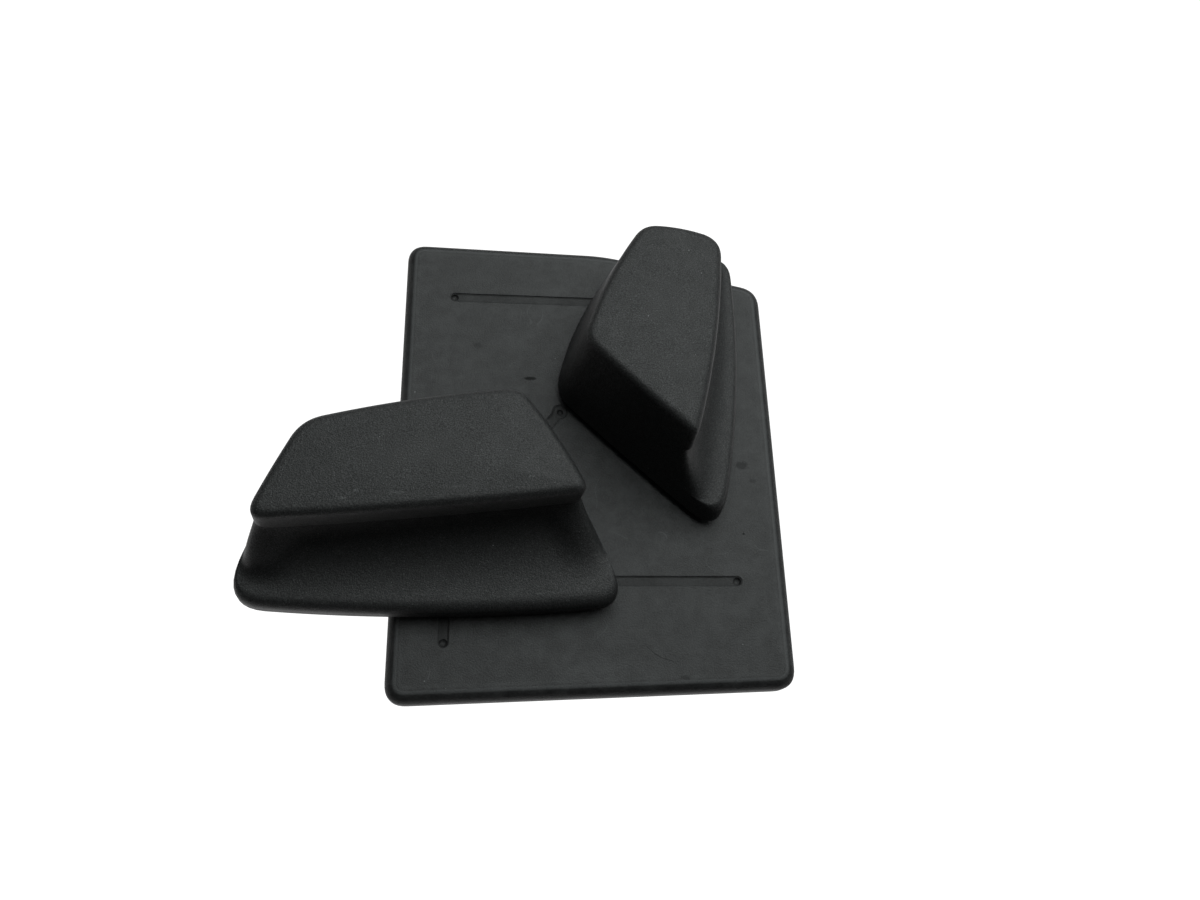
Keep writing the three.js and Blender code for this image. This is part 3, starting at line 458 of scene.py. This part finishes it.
def knob_ring(knob, share, z, inset=0.0):
    """The outline at one height, with the scoop side moved out by share and partly closed at its ends."""
    draft = max((SHOULDER - z) / (SHOULDER - KNOB["base"]), 0)
    walls = [Vector(mix_points(top, base, draft)) for top, base in zip(knob["top"], knob["base"])]
    scoop = [Vector(mix_points(top, base, share)) for top, base in zip(knob["top"][:2], knob["base"])]
    scoop_ends = crossing(walls[3], walls[0], *scoop), crossing(walls[1], walls[2], *scoop)
    parts = (share, share, draft, draft)
    cuts = [lerp(*pair, part) for *pair, part in zip(knob["top_cuts"], knob["base_cuts"], parts)]
    rings = []
    for corners, side in ((walls, draft), ([*scoop_ends, *walls[2:]], share)):
        parts = (side, draft, draft, draft)
        bows = [lerp(*pair, part) for *pair, part in zip(knob["top_bows"], knob["base_bows"], parts)]
        rings.append(bowed_ring(corners, bows, cuts, inset, z))
    plain, through = rings
    ends = plain[0].copy(), plain[SIDE_STEPS].copy()
    for k, point in enumerate(plain):
        away = [(point - end).length for end in ends]
        closed = knob["closed"][away[1] < away[0]] * scoop_hollow(z)
        inward = smooth(min(away) / SCOOP["fade"]) if k < SIDE_STEPS else 0
        plain[k] = point.lerp(through[k], 1 - closed * (1 - inward))
    return plain


def scoop_curve():
    """(share, height) up the scoop side, from the flange's top to the lip."""
    steps = []
    for k in range(SCOOP_STEPS + 1):
        angle = math.pi / 2 * k / SCOOP_STEPS
        share = SCOOP["flange_share"] - (SCOOP["flange_share"] + SCOOP["undercut"]) * math.sin(angle)
        steps.append((share, SCOOP["low"] + (SCOOP["high"] - SCOOP["low"]) * (1 - math.cos(angle))))
    return steps


def crown_rings(ring, rise):
    """Rings that close in on a ring's middle while they rise, for a gently crowned top."""
    middle = sum(ring, Vector()) / len(ring)
    rings = []
    for k in range(1, CROWN_STEPS):
        share = k / CROWN_STEPS
        lift = Vector((0, 0, rise * (1 - (1 - share) ** 2)))
        rings.append([point.lerp(middle, share * CROWN_REACH) + lift for point in ring])
    return rings


def inner_rings(knob):
    """The knob's inside, from its ceiling down to the rim."""
    wall, ceiling, lift = KNOB["wall"], KNOB["top"] - KNOB["wall"], CEILING["lift"]
    rings = [
        knob_ring(knob, CEILING["share"], ceiling, wall + CEILING["inset"]),
        knob_ring(knob, -SCOOP["undercut"], ceiling - CEILING["fall"], wall),
    ]
    rings += [knob_ring(knob, share, z - wall + lift, wall) for share, z in reversed(scoop_curve())]
    rings.append(knob_ring(knob, RIM["inner_share"], KNOB["base"], wall))
    return rings


def rim_rings(knob):
    """The flat of the rim, then its rounded outer edge."""
    base, radius = KNOB["base"], RIM["round"]
    rings = [knob_ring(knob, RIM["foot_share"], base, radius)]
    for rise, inset in RIM_ROUND:
        share = lerp(RIM["outer_share"], 1, rise / radius)
        rings.append(knob_ring(knob, share, base + rise, radius - inset))
    return rings


def flange_rings(knob):
    """The flange's rounded edge, up to the foot of the scoop."""
    rise = SCOOP["low"] - KNOB["flange"]
    rings = []
    for k in range(ROUND_STEPS + 1):
        angle = math.pi / 2 * k / ROUND_STEPS
        share = lerp(1, SCOOP["flange_share"], 1 - math.cos(angle))
        rings.append(knob_ring(knob, share, KNOB["flange"] + rise * math.sin(angle)))
    return rings


def lip_rings(knob):
    """The rounded lip above the scoop."""
    rise, start = SCOOP["lip"] - SCOOP["high"], SCOOP["high"] + LIP_EDGE
    rings = []
    for k in range(1, LIP_STEPS + 1):
        angle = math.pi / 2 * k / LIP_STEPS
        share = -SCOOP["undercut"] * (1 - math.sin(angle))
        rings.append(knob_ring(knob, share, start + rise * (1 - math.cos(angle))))
    return rings


def knob_rings(knob):
    """The knob's skin from its inner ceiling, down the inside, round the rim and up the outside."""
    rings = inner_rings(knob) + rim_rings(knob) + flange_rings(knob)
    rings += [knob_ring(knob, share, z) for share, z in scoop_curve()[1:]]
    rings += lip_rings(knob)
    rings.append(knob_ring(knob, 0, SHOULDER))
    rings += [knob_ring(knob, 0, SHOULDER + rise, inset) for inset, rise in quarter(KNOB["edge"])]
    return rings + crown_rings(rings[-1], KNOB["crown"])


def socket_post(x, y):
    """The hollow post that takes the stem's spigot: its outside and its bore."""
    half_x, half_y = STEM["half_x"] + GAP, STEM["half_y"] + GAP
    wall, low = SOCKET["wall"], SOCKET["low"]
    outside = round_outline(around(x, half_x + wall), around(y, half_y + wall), SOCKET["corner"], 4)
    bore = round_outline(around(x, half_x), around(y, half_y), SOCKET["bore_corner"], 3)
    return prism(outside, low, SOCKET["high"]), prism(bore, low - CLEAR, SOCKET["roof"])


def rib(x, y):
    return block(x, y, (RIB["low"], SOCKET["high"]))


def make_knob(knob, name, body, inside, bore, nodes):
    obj = to_object(loft(knob_rings(knob)))
    combine(obj, "UNION", inside)
    combine(obj, "DIFFERENCE", [bore])
    finish_piece(obj, name, body, "knob_plastic", nodes)


def make_cushion_knob():
    post, bore = socket_post(STEM["x"], STEM["y"])
    half, across = RIB["half"], CUSHION_RIBS["across"]
    inside = [post, rib((CUSHION_RIBS["spine_start"], STEM["x"]), around(STEM["y"], half))]
    inside += [rib(around(x, half), across) for x in CUSHION_RIBS["across_at"]]
    make_knob(CUSHION, "cushion_knob_shell", "cushion", inside, bore, ["cushion_knob"])


def make_backrest_knob():
    post, bore = socket_post(0, PIVOT["arm"])
    spine = rib(around(0, RIB["half"]), BACKREST_RIB)
    inside = [turned(post, ON_LEVER), turned(spine, ON_LEVER)]
    bore = turned(bore, ON_LEVER)
    make_knob(BACKREST, "backrest_knob_shell", "backrest", inside, bore, ["backrest_knob"])


# ---------- materials ----------
COOL = (0.97, 1.0, 1.02)
KNOB_GREYS = (0.007, 0.02)
PLATE_GREYS = (0.008, 0.021)
MARK_GREY = 0.003
BOARD_GREENS = ((0.012, 0.085, 0.03, 1), (0.016, 0.11, 0.04, 1))
TRACK_GREEN = (0.03, 0.17, 0.06, 1)
SPOT_RAGGED = 0.8  # how uneven a spot's edge is, as a share of its size
SCRATCHES_FROM = (300, 80, 0)  # the stretch of noise that the scratches are taken from
COLOUR_MIX = {"inputs": (0, 6, 7), "output": 2}  # the mix node's sockets for colours

# Scuffs on the cushion knob's top: place, direction in degrees, half sizes, strength.
KNOB_SCUFFS = [
    ((-2.8, 27.6, 19), 62, (0.9, 0.28), 0.22),
    ((-4.8, 26.5, 19), 55, (0.7, 0.22), 0.26),
    ((21.7, 30.1, 19), 100, (0.6, 0.22), 0.3),
    ((10.5, 28.4, 19), 5, (2.4, 0.3), 0.1),
    ((2.5, 27.4, 19), 5, (1.8, 0.25), 0.1),
]

# Dark marks on the faceplate: place, direction in degrees, half sizes, strength.
PLATE_MARKS = [
    ((22.3, 54.8, 0), -8, (1.3, 0.42), 0.85),
    ((58.5, 39.4, 0), 35, (1.5, 0.9), 0.5),
    ((60.2, 36.6, 0), 80, (0.8, 0.5), 0.3),
    ((14.6, 38.8, 0), 0, (0.3, 0.3), 0.8),
    ((13.2, 60.9, 0), 20, (1.1, 0.7), 0.28),
    ((57.8, 27.2, 0), 0, (0.25, 0.25), 0.8),
    ((46.5, 3.9, 0), 10, (1.2, 0.4), 0.4),
]
# A hair line: part of a circle, round about its middle.
HAIR = {"centre": (46.1, 13.5, 0), "radius": 7.2, "middle": (42.8, 7.4, 0), "reach": 4.2, "half": 0.07}


def grey(value, tint=(1, 1, 1)):
    return (value * tint[0], value * tint[1], value * tint[2], 1)


class Shader:
    """A node material whose texture coordinates are millimetres in the faceplate's frame."""

    def __init__(self, name):
        self.material = bpy.data.materials.new(name)
        self.material.use_nodes = True
        self.tree = self.material.node_tree
        self.tree.nodes.clear()
        output = self.node("ShaderNodeOutputMaterial")
        self.surface = self.node("ShaderNodeBsdfPrincipled")
        self.tree.links.new(self.surface.outputs["BSDF"], output.inputs["Surface"])
        place = self.node("ShaderNodeTexCoord").outputs["Object"]
        settings = {"Vector": place, "Location": -ORIGIN / MM, "Scale": (1 / MM,) * 3}
        self.mm = self.node("ShaderNodeMapping", settings).outputs[0]

    def node(self, kind, inputs=None, **settings):
        made = self.tree.nodes.new(kind)
        for key, value in settings.items():
            setattr(made, key, value)
        for socket, value in (inputs or {}).items():
            self.put(made.inputs[socket], value)
        return made

    def put(self, socket, value):
        """Links the socket to the value if that is another node's, and sets it otherwise."""
        if isinstance(value, bpy.types.NodeSocket):
            self.tree.links.new(value, socket)
        else:
            socket.default_value = value

    def math(self, operation, *values):
        return self.node("ShaderNodeMath", dict(enumerate(values)), operation=operation).outputs[0]

    def moved(self, location=(0, 0, 0), angle=0.0, scale=(1, 1, 1)):
        """The coordinates with the origin at location, turned so that x runs along angle, then scaled."""
        at = self.node("ShaderNodeVectorMath", {0: self.mm, 1: location}, operation="SUBTRACT").outputs[0]
        settings = {"Vector": at, "Rotation": (0, 0, -math.radians(angle)), "Scale": scale}
        return self.node("ShaderNodeMapping", settings).outputs[0]

    def noise(self, per_mm, detail=2.0, roughness=0.5, vector=None):
        inputs = {"Vector": vector or self.mm, "Scale": per_mm, "Detail": detail, "Roughness": roughness}
        return self.node("ShaderNodeTexNoise", inputs).outputs[0]

    def cells(self, per_mm, feature="F1"):
        return self.node("ShaderNodeTexVoronoi", {"Vector": self.mm, "Scale": per_mm}, feature=feature)

    def span(self, value, low, high, start=0.0, end=1.0):
        """value's stretch from low to high, mapped smoothly to start to end."""
        inputs = {"Value": value, "From Min": low, "From Max": high, "To Min": start, "To Max": end}
        return self.node("ShaderNodeMapRange", inputs, interpolation_type="SMOOTHSTEP").outputs[0]

    def blend(self, share, first, second):
        """The first colour, changing to the second as share goes from 0 to 1."""
        made = self.node("ShaderNodeMix", data_type="RGBA")
        for number, value in zip(COLOUR_MIX["inputs"], (share, first, second)):
            self.put(made.inputs[number], value)
        return made.outputs[COLOUR_MIX["output"]]

    def dust_and_highlight(self, base, mask, strength, brightness, tint=COOL):
        """base, with a grey of the given brightness over it where the mask is: for dust, wear and
        scratches, and for painted highlights and painted glints.
        """
        return self.blend(self.math("MULTIPLY", mask, strength), base, grey(brightness, tint))

    def bump(self, height, depth_mm, strength):
        inputs = {"Height": height, "Distance": depth_mm * MM, "Strength": strength}
        return self.node("ShaderNodeBump", inputs).outputs[0]

    def specks(self, per_mm, radius, rarity):
        """1 on small round specks: one in a rare few of the cells."""
        cell = self.cells(per_mm)
        near = self.span(cell.outputs["Distance"], radius, radius * 0.6)
        chance = self.node("ShaderNodeSeparateColor", {0: cell.outputs["Color"]}).outputs[0]
        return self.math("MULTIPLY", near, self.math("GREATER_THAN", chance, rarity))

    def spot(self, location, angle, size, soft=0.5):
        """1 on an uneven oval patch of the given half sizes in millimetres."""
        x, y = size
        at = self.moved(location, angle, (1 / x, 1 / y, 0.3))
        away = self.node("ShaderNodeVectorMath", {0: at}, operation="LENGTH").outputs["Value"]
        uneven = self.math("MULTIPLY_ADD", self.noise(2.2, 5, 0.65), SPOT_RAGGED * 2, -SPOT_RAGGED)
        return self.span(self.math("ADD", away, uneven), 1, 1 - soft)

    def set(self, **values):
        """Sets the surface's sockets, with _ for a space."""
        for key, value in values.items():
            self.put(self.surface.inputs[key.replace("_", " ")], value)
        return self.material


def knob_plastic():
    """Black plastic with a spark-eroded grain, a little dust, painted glints and a few scuffs from fingers.
    """
    s = Shader("knob_plastic")
    grain = s.noise(5.5, 2, 0.6)
    pits = s.span(s.cells(3.6, "SMOOTH_F1").outputs["Distance"], 0.1, 0.75)
    height = s.math("ADD", grain, s.math("MULTIPLY", pits, 0.35))
    sparkle = s.noise(6.5, 1, 0.6)
    base = s.blend(s.span(sparkle, 0.35, 0.7), *(grey(value, COOL) for value in KNOB_GREYS))
    base = s.dust_and_highlight(base, s.span(s.noise(0.1, 3), 0.3, 0.7), 0.2, 0.019)
    # Painted glints: small bright specks, close together, painted lighter into the colour.
    base = s.dust_and_highlight(base, s.specks(2.2, 0.24, 0.6), 0.4, 0.1)
    base = s.dust_and_highlight(base, s.specks(0.55, 0.06, 0.84), 0.6, 0.3)
    for place, angle, size, strength in KNOB_SCUFFS:
        mask = s.math("MULTIPLY", s.spot(place, angle, size, 0.8), strength)
        base = s.dust_and_highlight(base, mask, s.span(s.noise(4, 2), 0.35, 0.6), 0.3)
    return s.set(
        Base_Color=base,
        Roughness=s.span(s.noise(0.4, 4), 0.25, 0.75, 0.54, 0.6),
        Normal=s.bump(height, 0.075, 0.8),
        Specular_IOR_Level=s.span(sparkle, 0.3, 0.7, 0.36, 0.62),
    )


def hair_line(s):
    """1 on a fine curved hair line."""
    centre, middle = HAIR["centre"], HAIR["middle"]
    away = s.node("ShaderNodeVectorMath", {0: s.mm, 1: centre}, operation="DISTANCE").outputs["Value"]
    off = s.math("ABSOLUTE", s.math("SUBTRACT", away, HAIR["radius"]))
    near = s.node("ShaderNodeVectorMath", {0: s.mm, 1: middle}, operation="DISTANCE").outputs["Value"]
    return s.math("MULTIPLY", s.span(off, HAIR["half"], 0), s.span(near, HAIR["reach"], 1))


def scratches(s):
    """1 on fine curved scratches, broken up into patches."""
    wandering = s.noise(0.09, 1, 0.3, s.moved(SCRATCHES_FROM))
    off = s.math("ABSOLUTE", s.math("SUBTRACT", wandering, 0.5))
    broken = s.span(s.noise(0.16, 2), 0.52, 0.62)
    return s.math("MULTIPLY", s.span(off, 0.0022, 0.0004), broken)


def plate_plastic():
    """The faceplate's matt black plastic: fine grain, mottled dust, fine scratches and a worn border, with
    a painted highlight on the rims of its lines and painted glints.
    """
    s = Shader("faceplate_plastic")
    grain = s.noise(3.6, 3, 0.7)
    mottled = s.noise(0.3, 6, 0.66)
    cloudy = s.noise(0.05, 3, 0.5)
    haze = s.math("MULTIPLY", s.span(mottled, 0.35, 0.7), s.span(cloudy, 0.3, 0.65, 0.4, 1))
    height = s.node("ShaderNodeSeparateXYZ", {0: s.mm}).outputs["Z"]
    in_line = s.span(height, -0.03, -0.2)
    # Painted highlight: the face from 0.02 to 0.08 mm below its top, mostly the upper walls of the lines
    # and dimples, is painted lighter.
    rim = s.math("MULTIPLY", s.span(height, -0.17, -0.08), s.span(height, -0.004, -0.02))
    worn = s.node("ShaderNodeAttribute", attribute_name="wear").outputs["Fac"]
    base = s.blend(s.span(grain, 0.35, 0.7), *(grey(value, COOL) for value in PLATE_GREYS))
    base = s.dust_and_highlight(base, haze, 0.75, 0.038)
    base = s.dust_and_highlight(base, scratches(s), 0.35, 0.09)
    base = s.dust_and_highlight(base, rim, 0.5, 0.07)
    # Painted glints: small bright specks, close together, painted lighter into the colour.
    base = s.dust_and_highlight(base, s.specks(1.5, 0.12, 0.6), 0.35, 0.09)
    base = s.dust_and_highlight(base, worn, s.span(s.noise(0.5, 4), 0.3, 0.65, 0.05, 0.3), 0.05)
    base = s.dust_and_highlight(base, s.specks(0.3, 0.04, 0.8), 0.5, 0.3)
    dark = s.math("MAXIMUM", s.math("MULTIPLY", in_line, 0.32), hair_line(s))
    for place, angle, size, strength in PLATE_MARKS:
        dark = s.math("MAXIMUM", dark, s.math("MULTIPLY", s.spot(place, angle, size), strength))
    base = s.blend(dark, base, grey(MARK_GREY))
    return s.set(
        Base_Color=base,
        Roughness=s.span(mottled, 0.3, 0.75, 0.54, 0.62),
        Normal=s.bump(grain, 0.1, 0.8),
        Specular_IOR_Level=s.math("MULTIPLY_ADD", dark, -0.42, s.span(mottled, 0.3, 0.75, 0.47, 0.6)),
    )


def moulded_plastic(name, value, tint, roughness, grain_per_mm=3.0, depth=0.02):
    """Plain moulded plastic: a soft grain, flow marks and uneven gloss."""
    s = Shader(name)
    grain = s.noise(grain_per_mm, 3, 0.6)
    flow = s.noise(0.12, 4, 0.55, s.moved(angle=20, scale=(1, 0.35, 1)))
    base = s.blend(s.span(flow, 0.3, 0.7), grey(value * 0.82, tint), grey(value * 1.18, tint))
    base = s.dust_and_highlight(base, s.specks(0.4, 0.05, 0.85), 0.3, min(value * 6 + 0.05, 0.7), tint)
    return s.set(
        Base_Color=base,
        Roughness=s.span(flow, 0.25, 0.75, roughness - 0.07, roughness + 0.07),
        Normal=s.bump(grain, depth, 0.6),
    )


def laminate():
    """The contact board: green solder mask over a faint weave, with raised tracks."""
    s = Shader("board_laminate")
    weave = s.node("ShaderNodeTexWave", {"Vector": s.mm, "Scale": 1.4, "Distortion": 0.6}).outputs["Fac"]
    across = s.moved(angle=90)
    track = s.node("ShaderNodeTexWave", {"Vector": across, "Scale": 0.16, "Distortion": 0.0})
    on_track = s.span(track.outputs["Fac"], 0.86, 0.9)
    base = s.blend(on_track, s.blend(weave, *BOARD_GREENS), TRACK_GREEN)
    height = s.math("ADD", on_track, s.math("MULTIPLY", weave, 0.15))
    rough = s.span(s.noise(0.6, 3), 0.3, 0.7, 0.25, 0.4)
    return s.set(Base_Color=base, Roughness=rough, Normal=s.bump(height, 0.03, 0.6))


def metal(name, colour, roughness):
    """Sheet or wire metal with a drawn finish, small stains and uneven polish."""
    s = Shader(name)
    drawn = s.noise(2.2, 4, 0.6, s.moved(scale=(0.08, 1.8, 1.8)))
    stain = s.span(s.noise(0.35, 5, 0.6), 0.35, 0.75)
    dull = tuple(channel * 0.72 for channel in colour[:3]) + (1,)
    base = s.blend(s.math("MULTIPLY", stain, 0.55), colour, dull)
    streaks = s.span(drawn, 0.3, 0.7, roughness - 0.08, roughness + 0.1)
    rough = s.math("ADD", streaks, s.math("MULTIPLY", stain, 0.06))
    return s.set(Base_Color=base, Metallic=1.0, Roughness=rough, Normal=s.bump(drawn, 0.01, 0.5))


# Brightness, tint, roughness and, where they aren't the usual ones, grains per millimetre and their depth.
PLASTICS = {
    "case_plastic": (0.011, (1, 1, 1.02), 0.46, 2.4, 0.03),
    "slide_plastic": (0.6, (1, 0.96, 0.86), 0.42),
    "stem_plastic": (0.022, (1, 1.01, 1.03), 0.45, 5.0, 0.02),
    "shutter_plastic": (0.009, (1, 1, 1), 0.5),
    "shroud_plastic": (0.03, (0.98, 1, 1.04), 0.44),
}
# Colour and roughness.
METALS = {
    "screw_steel": ((0.62, 0.62, 0.6, 1), 0.32),
    "spring_steel": ((0.56, 0.57, 0.59, 1), 0.3),
    "contact_bronze": ((0.62, 0.38, 0.16, 1), 0.3),
    "terminal_tin": ((0.72, 0.73, 0.72, 1), 0.3),
}
# The looks, by the slot that pieces take them with.
MATERIALS = {
    "knob_plastic": knob_plastic(),
    "faceplate_plastic": plate_plastic(),
    "board_laminate": laminate(),
}
MATERIALS.update({slot: moulded_plastic(slot, *look) for slot, look in PLASTICS.items()})
MATERIALS.update({slot: metal(slot, *look) for slot, look in METALS.items()})

# Which slot and material each CAD piece takes, by the start of its name.
FINISHES = {
    "case_plastic": ("housing", "bottom_cover"),
    "slide_plastic": ("guide_plate", "fore_aft_carriage", "lift_yoke"),
    "stem_plastic": ("cushion_stem", "backrest_lever"),
    "shutter_plastic": ("cushion_dust_shutter", "backrest_dust_shutter"),
    "board_laminate": ("contact_board",),
    "shroud_plastic": ("connector_shroud",),
    "screw_steel": ("case_screw", "guide_screw", "recline_pivot_pin"),
    "spring_steel": (
        "panel_clip",
        "cushion_knob_clip",
        "backrest_knob_clip",
        "fore_aft_return_spring",
        "tilt_return_spring",
        "recline_return_spring",
        "lift_return_spring",
    ),
    "contact_bronze": ("fore_aft_wiper", "lift_wiper", "tilt_wiper", "recline_wiper"),
    "terminal_tin": ("terminal",),
}


# ---------- the rest of the assembly ----------
# Springs between two bodies: which they join, and the points where the bending starts and ends.
SPRING_BENDS = {
    "fore_aft_return_spring": ("panel", "carriage", (29, 26, -9.6), (29, 34, -9.6)),
    "lift_return_spring_front": ("carriage", "yoke", (15.5, 22.7, -10.2), (15.5, 27.5, -10.2)),
    "lift_return_spring_rear": ("carriage", "yoke", (15.5, 45.3, -10.2), (15.5, 40.5, -10.2)),
    "recline_return_spring": (
        "backrest", "panel", ON_LEVER @ Vector((0, 5.5, 0)), ON_LEVER @ Vector((0, 7.2, 0))),
}


def soften(node, width):
    """A finished copy of a CAD node: welded, its flat faces made whole, and its edges rounded by width."""
    slot = next(key for key, starts in FINISHES.items() if node.startswith(starts))
    source = frame["nodes"][node]
    bm = bmesh.new()
    bm.from_mesh(source.data)
    bmesh.ops.remove_doubles(bm, verts=bm.verts, dist=WELD)
    bmesh.ops.dissolve_limit(bm, angle_limit=FLAT_ANGLE, verts=bm.verts, edges=bm.edges)
    piece = to_object(bm, node + "_piece")
    piece.data.materials.append(MATERIALS[slot])
    rounding = piece.modifiers.new("rounding", "BEVEL")
    rounding.width = width * MM
    rounding.segments = 2
    rounding.limit_method = "ANGLE"
    rounding.angle_limit = BEVEL_ANGLE
    piece.data.shade_smooth()
    piece.data.set_sharp_from_angle(angle=SHARP_ANGLE)
    if node in SPRING_BENDS:
        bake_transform(piece)
    else:
        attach(piece, source["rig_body"])
    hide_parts(node)


def make_inside():
    """Every CAD node that has no shape of its own above."""
    for node in frame["nodes"]:
        if node not in ("faceplate", "cushion_knob", "backrest_knob"):
            soften(node, WIDE_ROUNDING.get(node, ROUNDING))


# ---------- camera, light and paper ----------
VIEW = {"aim": (34.11, 41.76, 0), "distance": 157.4, "heading": 18.11, "elevation": 67.73, "roll": 17.88}
LENS = {"sensor": 36, "length": 27.9, "nearest": 0.005}

DAYLIGHT = (0.95, 1, 0.99)
LIGHT_AIM = (32, 40, 0)
LIGHT_AWAY = 0.8  # metres from the aim to each window
LIGHTS = {
    "window": {"heading": 25, "elevation": 61, "size": 0.9, "power": 6.4},
    "window_right": {"heading": 78, "elevation": 32, "size": 0.4, "power": 0.5},
}
ROOM_GLOW = 0.03

# White paper in millimetres of the part's frame, from just below the part up to a height, and what sees it.
PAPER_LOW = -2
PAPER_STEPS = 64
PAPERS = {
    "background_paper": {"y": 0, "radius": 1500, "height": 3000, "glow": 1.1, "seen": "camera"},
    "mirrored_paper": {"y": 130, "radius": 240, "height": 0, "glow": 1.0, "seen": "reflections"},
}


def make_camera():
    """The photograph's view: from in front of the cushion, high up and turned a little."""
    data = bpy.data.cameras.new("camera")
    data.sensor_width = LENS["sensor"]
    data.lens = LENS["length"]
    data.clip_start = LENS["nearest"]
    camera = add_to_scene("camera", data)
    turn = Matrix.Rotation(-math.radians(VIEW["heading"]), 3, "Z")
    tilt = Matrix.Rotation(math.radians(90 - VIEW["elevation"]), 3, "X")
    roll = Matrix.Rotation(math.radians(VIEW["roll"]), 3, "Z")
    rotation = turn @ tilt @ roll
    back = rotation @ Vector((0, 0, 1))
    position = PLACE @ (Vector(VIEW["aim"]) + back * VIEW["distance"])
    camera.matrix_world = Matrix.LocRotScale(position, rotation.to_quaternion(), None)
    bpy.context.scene.camera = camera


def area_light(name, heading, elevation, size, power):
    """A square soft light that faces the faceplate's middle; heading turns from +Y towards +X."""
    data = bpy.data.lights.new(name, "AREA")
    data.size = size
    data.energy = power
    data.color = DAYLIGHT
    light = add_to_scene(name, data)
    a, e = math.radians(heading), math.radians(elevation)
    away = Vector((math.sin(a) * math.cos(e), math.cos(a) * math.cos(e), math.sin(e)))
    light.location = PLACE @ Vector(LIGHT_AIM) + away * LIGHT_AWAY
    light.rotation_mode = "QUATERNION"
    light.rotation_quaternion = away.to_track_quat("Z", "Y")


def paper(name, y, radius, height, glow, seen):
    """A glowing white disc or drum round the switch that only the camera or only reflections see."""
    sheet = to_object(prism(circle(0, y, radius, PAPER_STEPS), PAPER_LOW, height), name)
    sheet.data.transform(Matrix.Scale(MM, 4))
    material = bpy.data.materials.new(name)
    material.use_nodes = True
    surface = material.node_tree.nodes["Principled BSDF"]
    surface.inputs["Base Color"].default_value = (0, 0, 0, 1)
    surface.inputs["Emission Color"].default_value = (1, 1, 1, 1)
    surface.inputs["Emission Strength"].default_value = glow
    sheet.data.materials.append(material)
    sheet.visible_camera = seen == "camera"
    sheet.visible_glossy = seen == "reflections"
    sheet.visible_diffuse = False
    sheet.visible_shadow = False


def make_stage():
    for name, settings in PAPERS.items():
        paper(name, **settings)
    world = bpy.data.worlds.new("room")
    world.use_nodes = True
    world.node_tree.nodes["Background"].inputs["Color"].default_value = (*DAYLIGHT, 1)
    world.node_tree.nodes["Background"].inputs["Strength"].default_value = ROOM_GLOW
    bpy.context.scene.world = world
    for name, settings in LIGHTS.items():
        area_light(name, **settings)
    bpy.context.scene.view_settings.view_transform = "Standard"


make_faceplate()
make_cushion_knob()
make_backrest_knob()
make_inside()
make_camera()
make_stage()
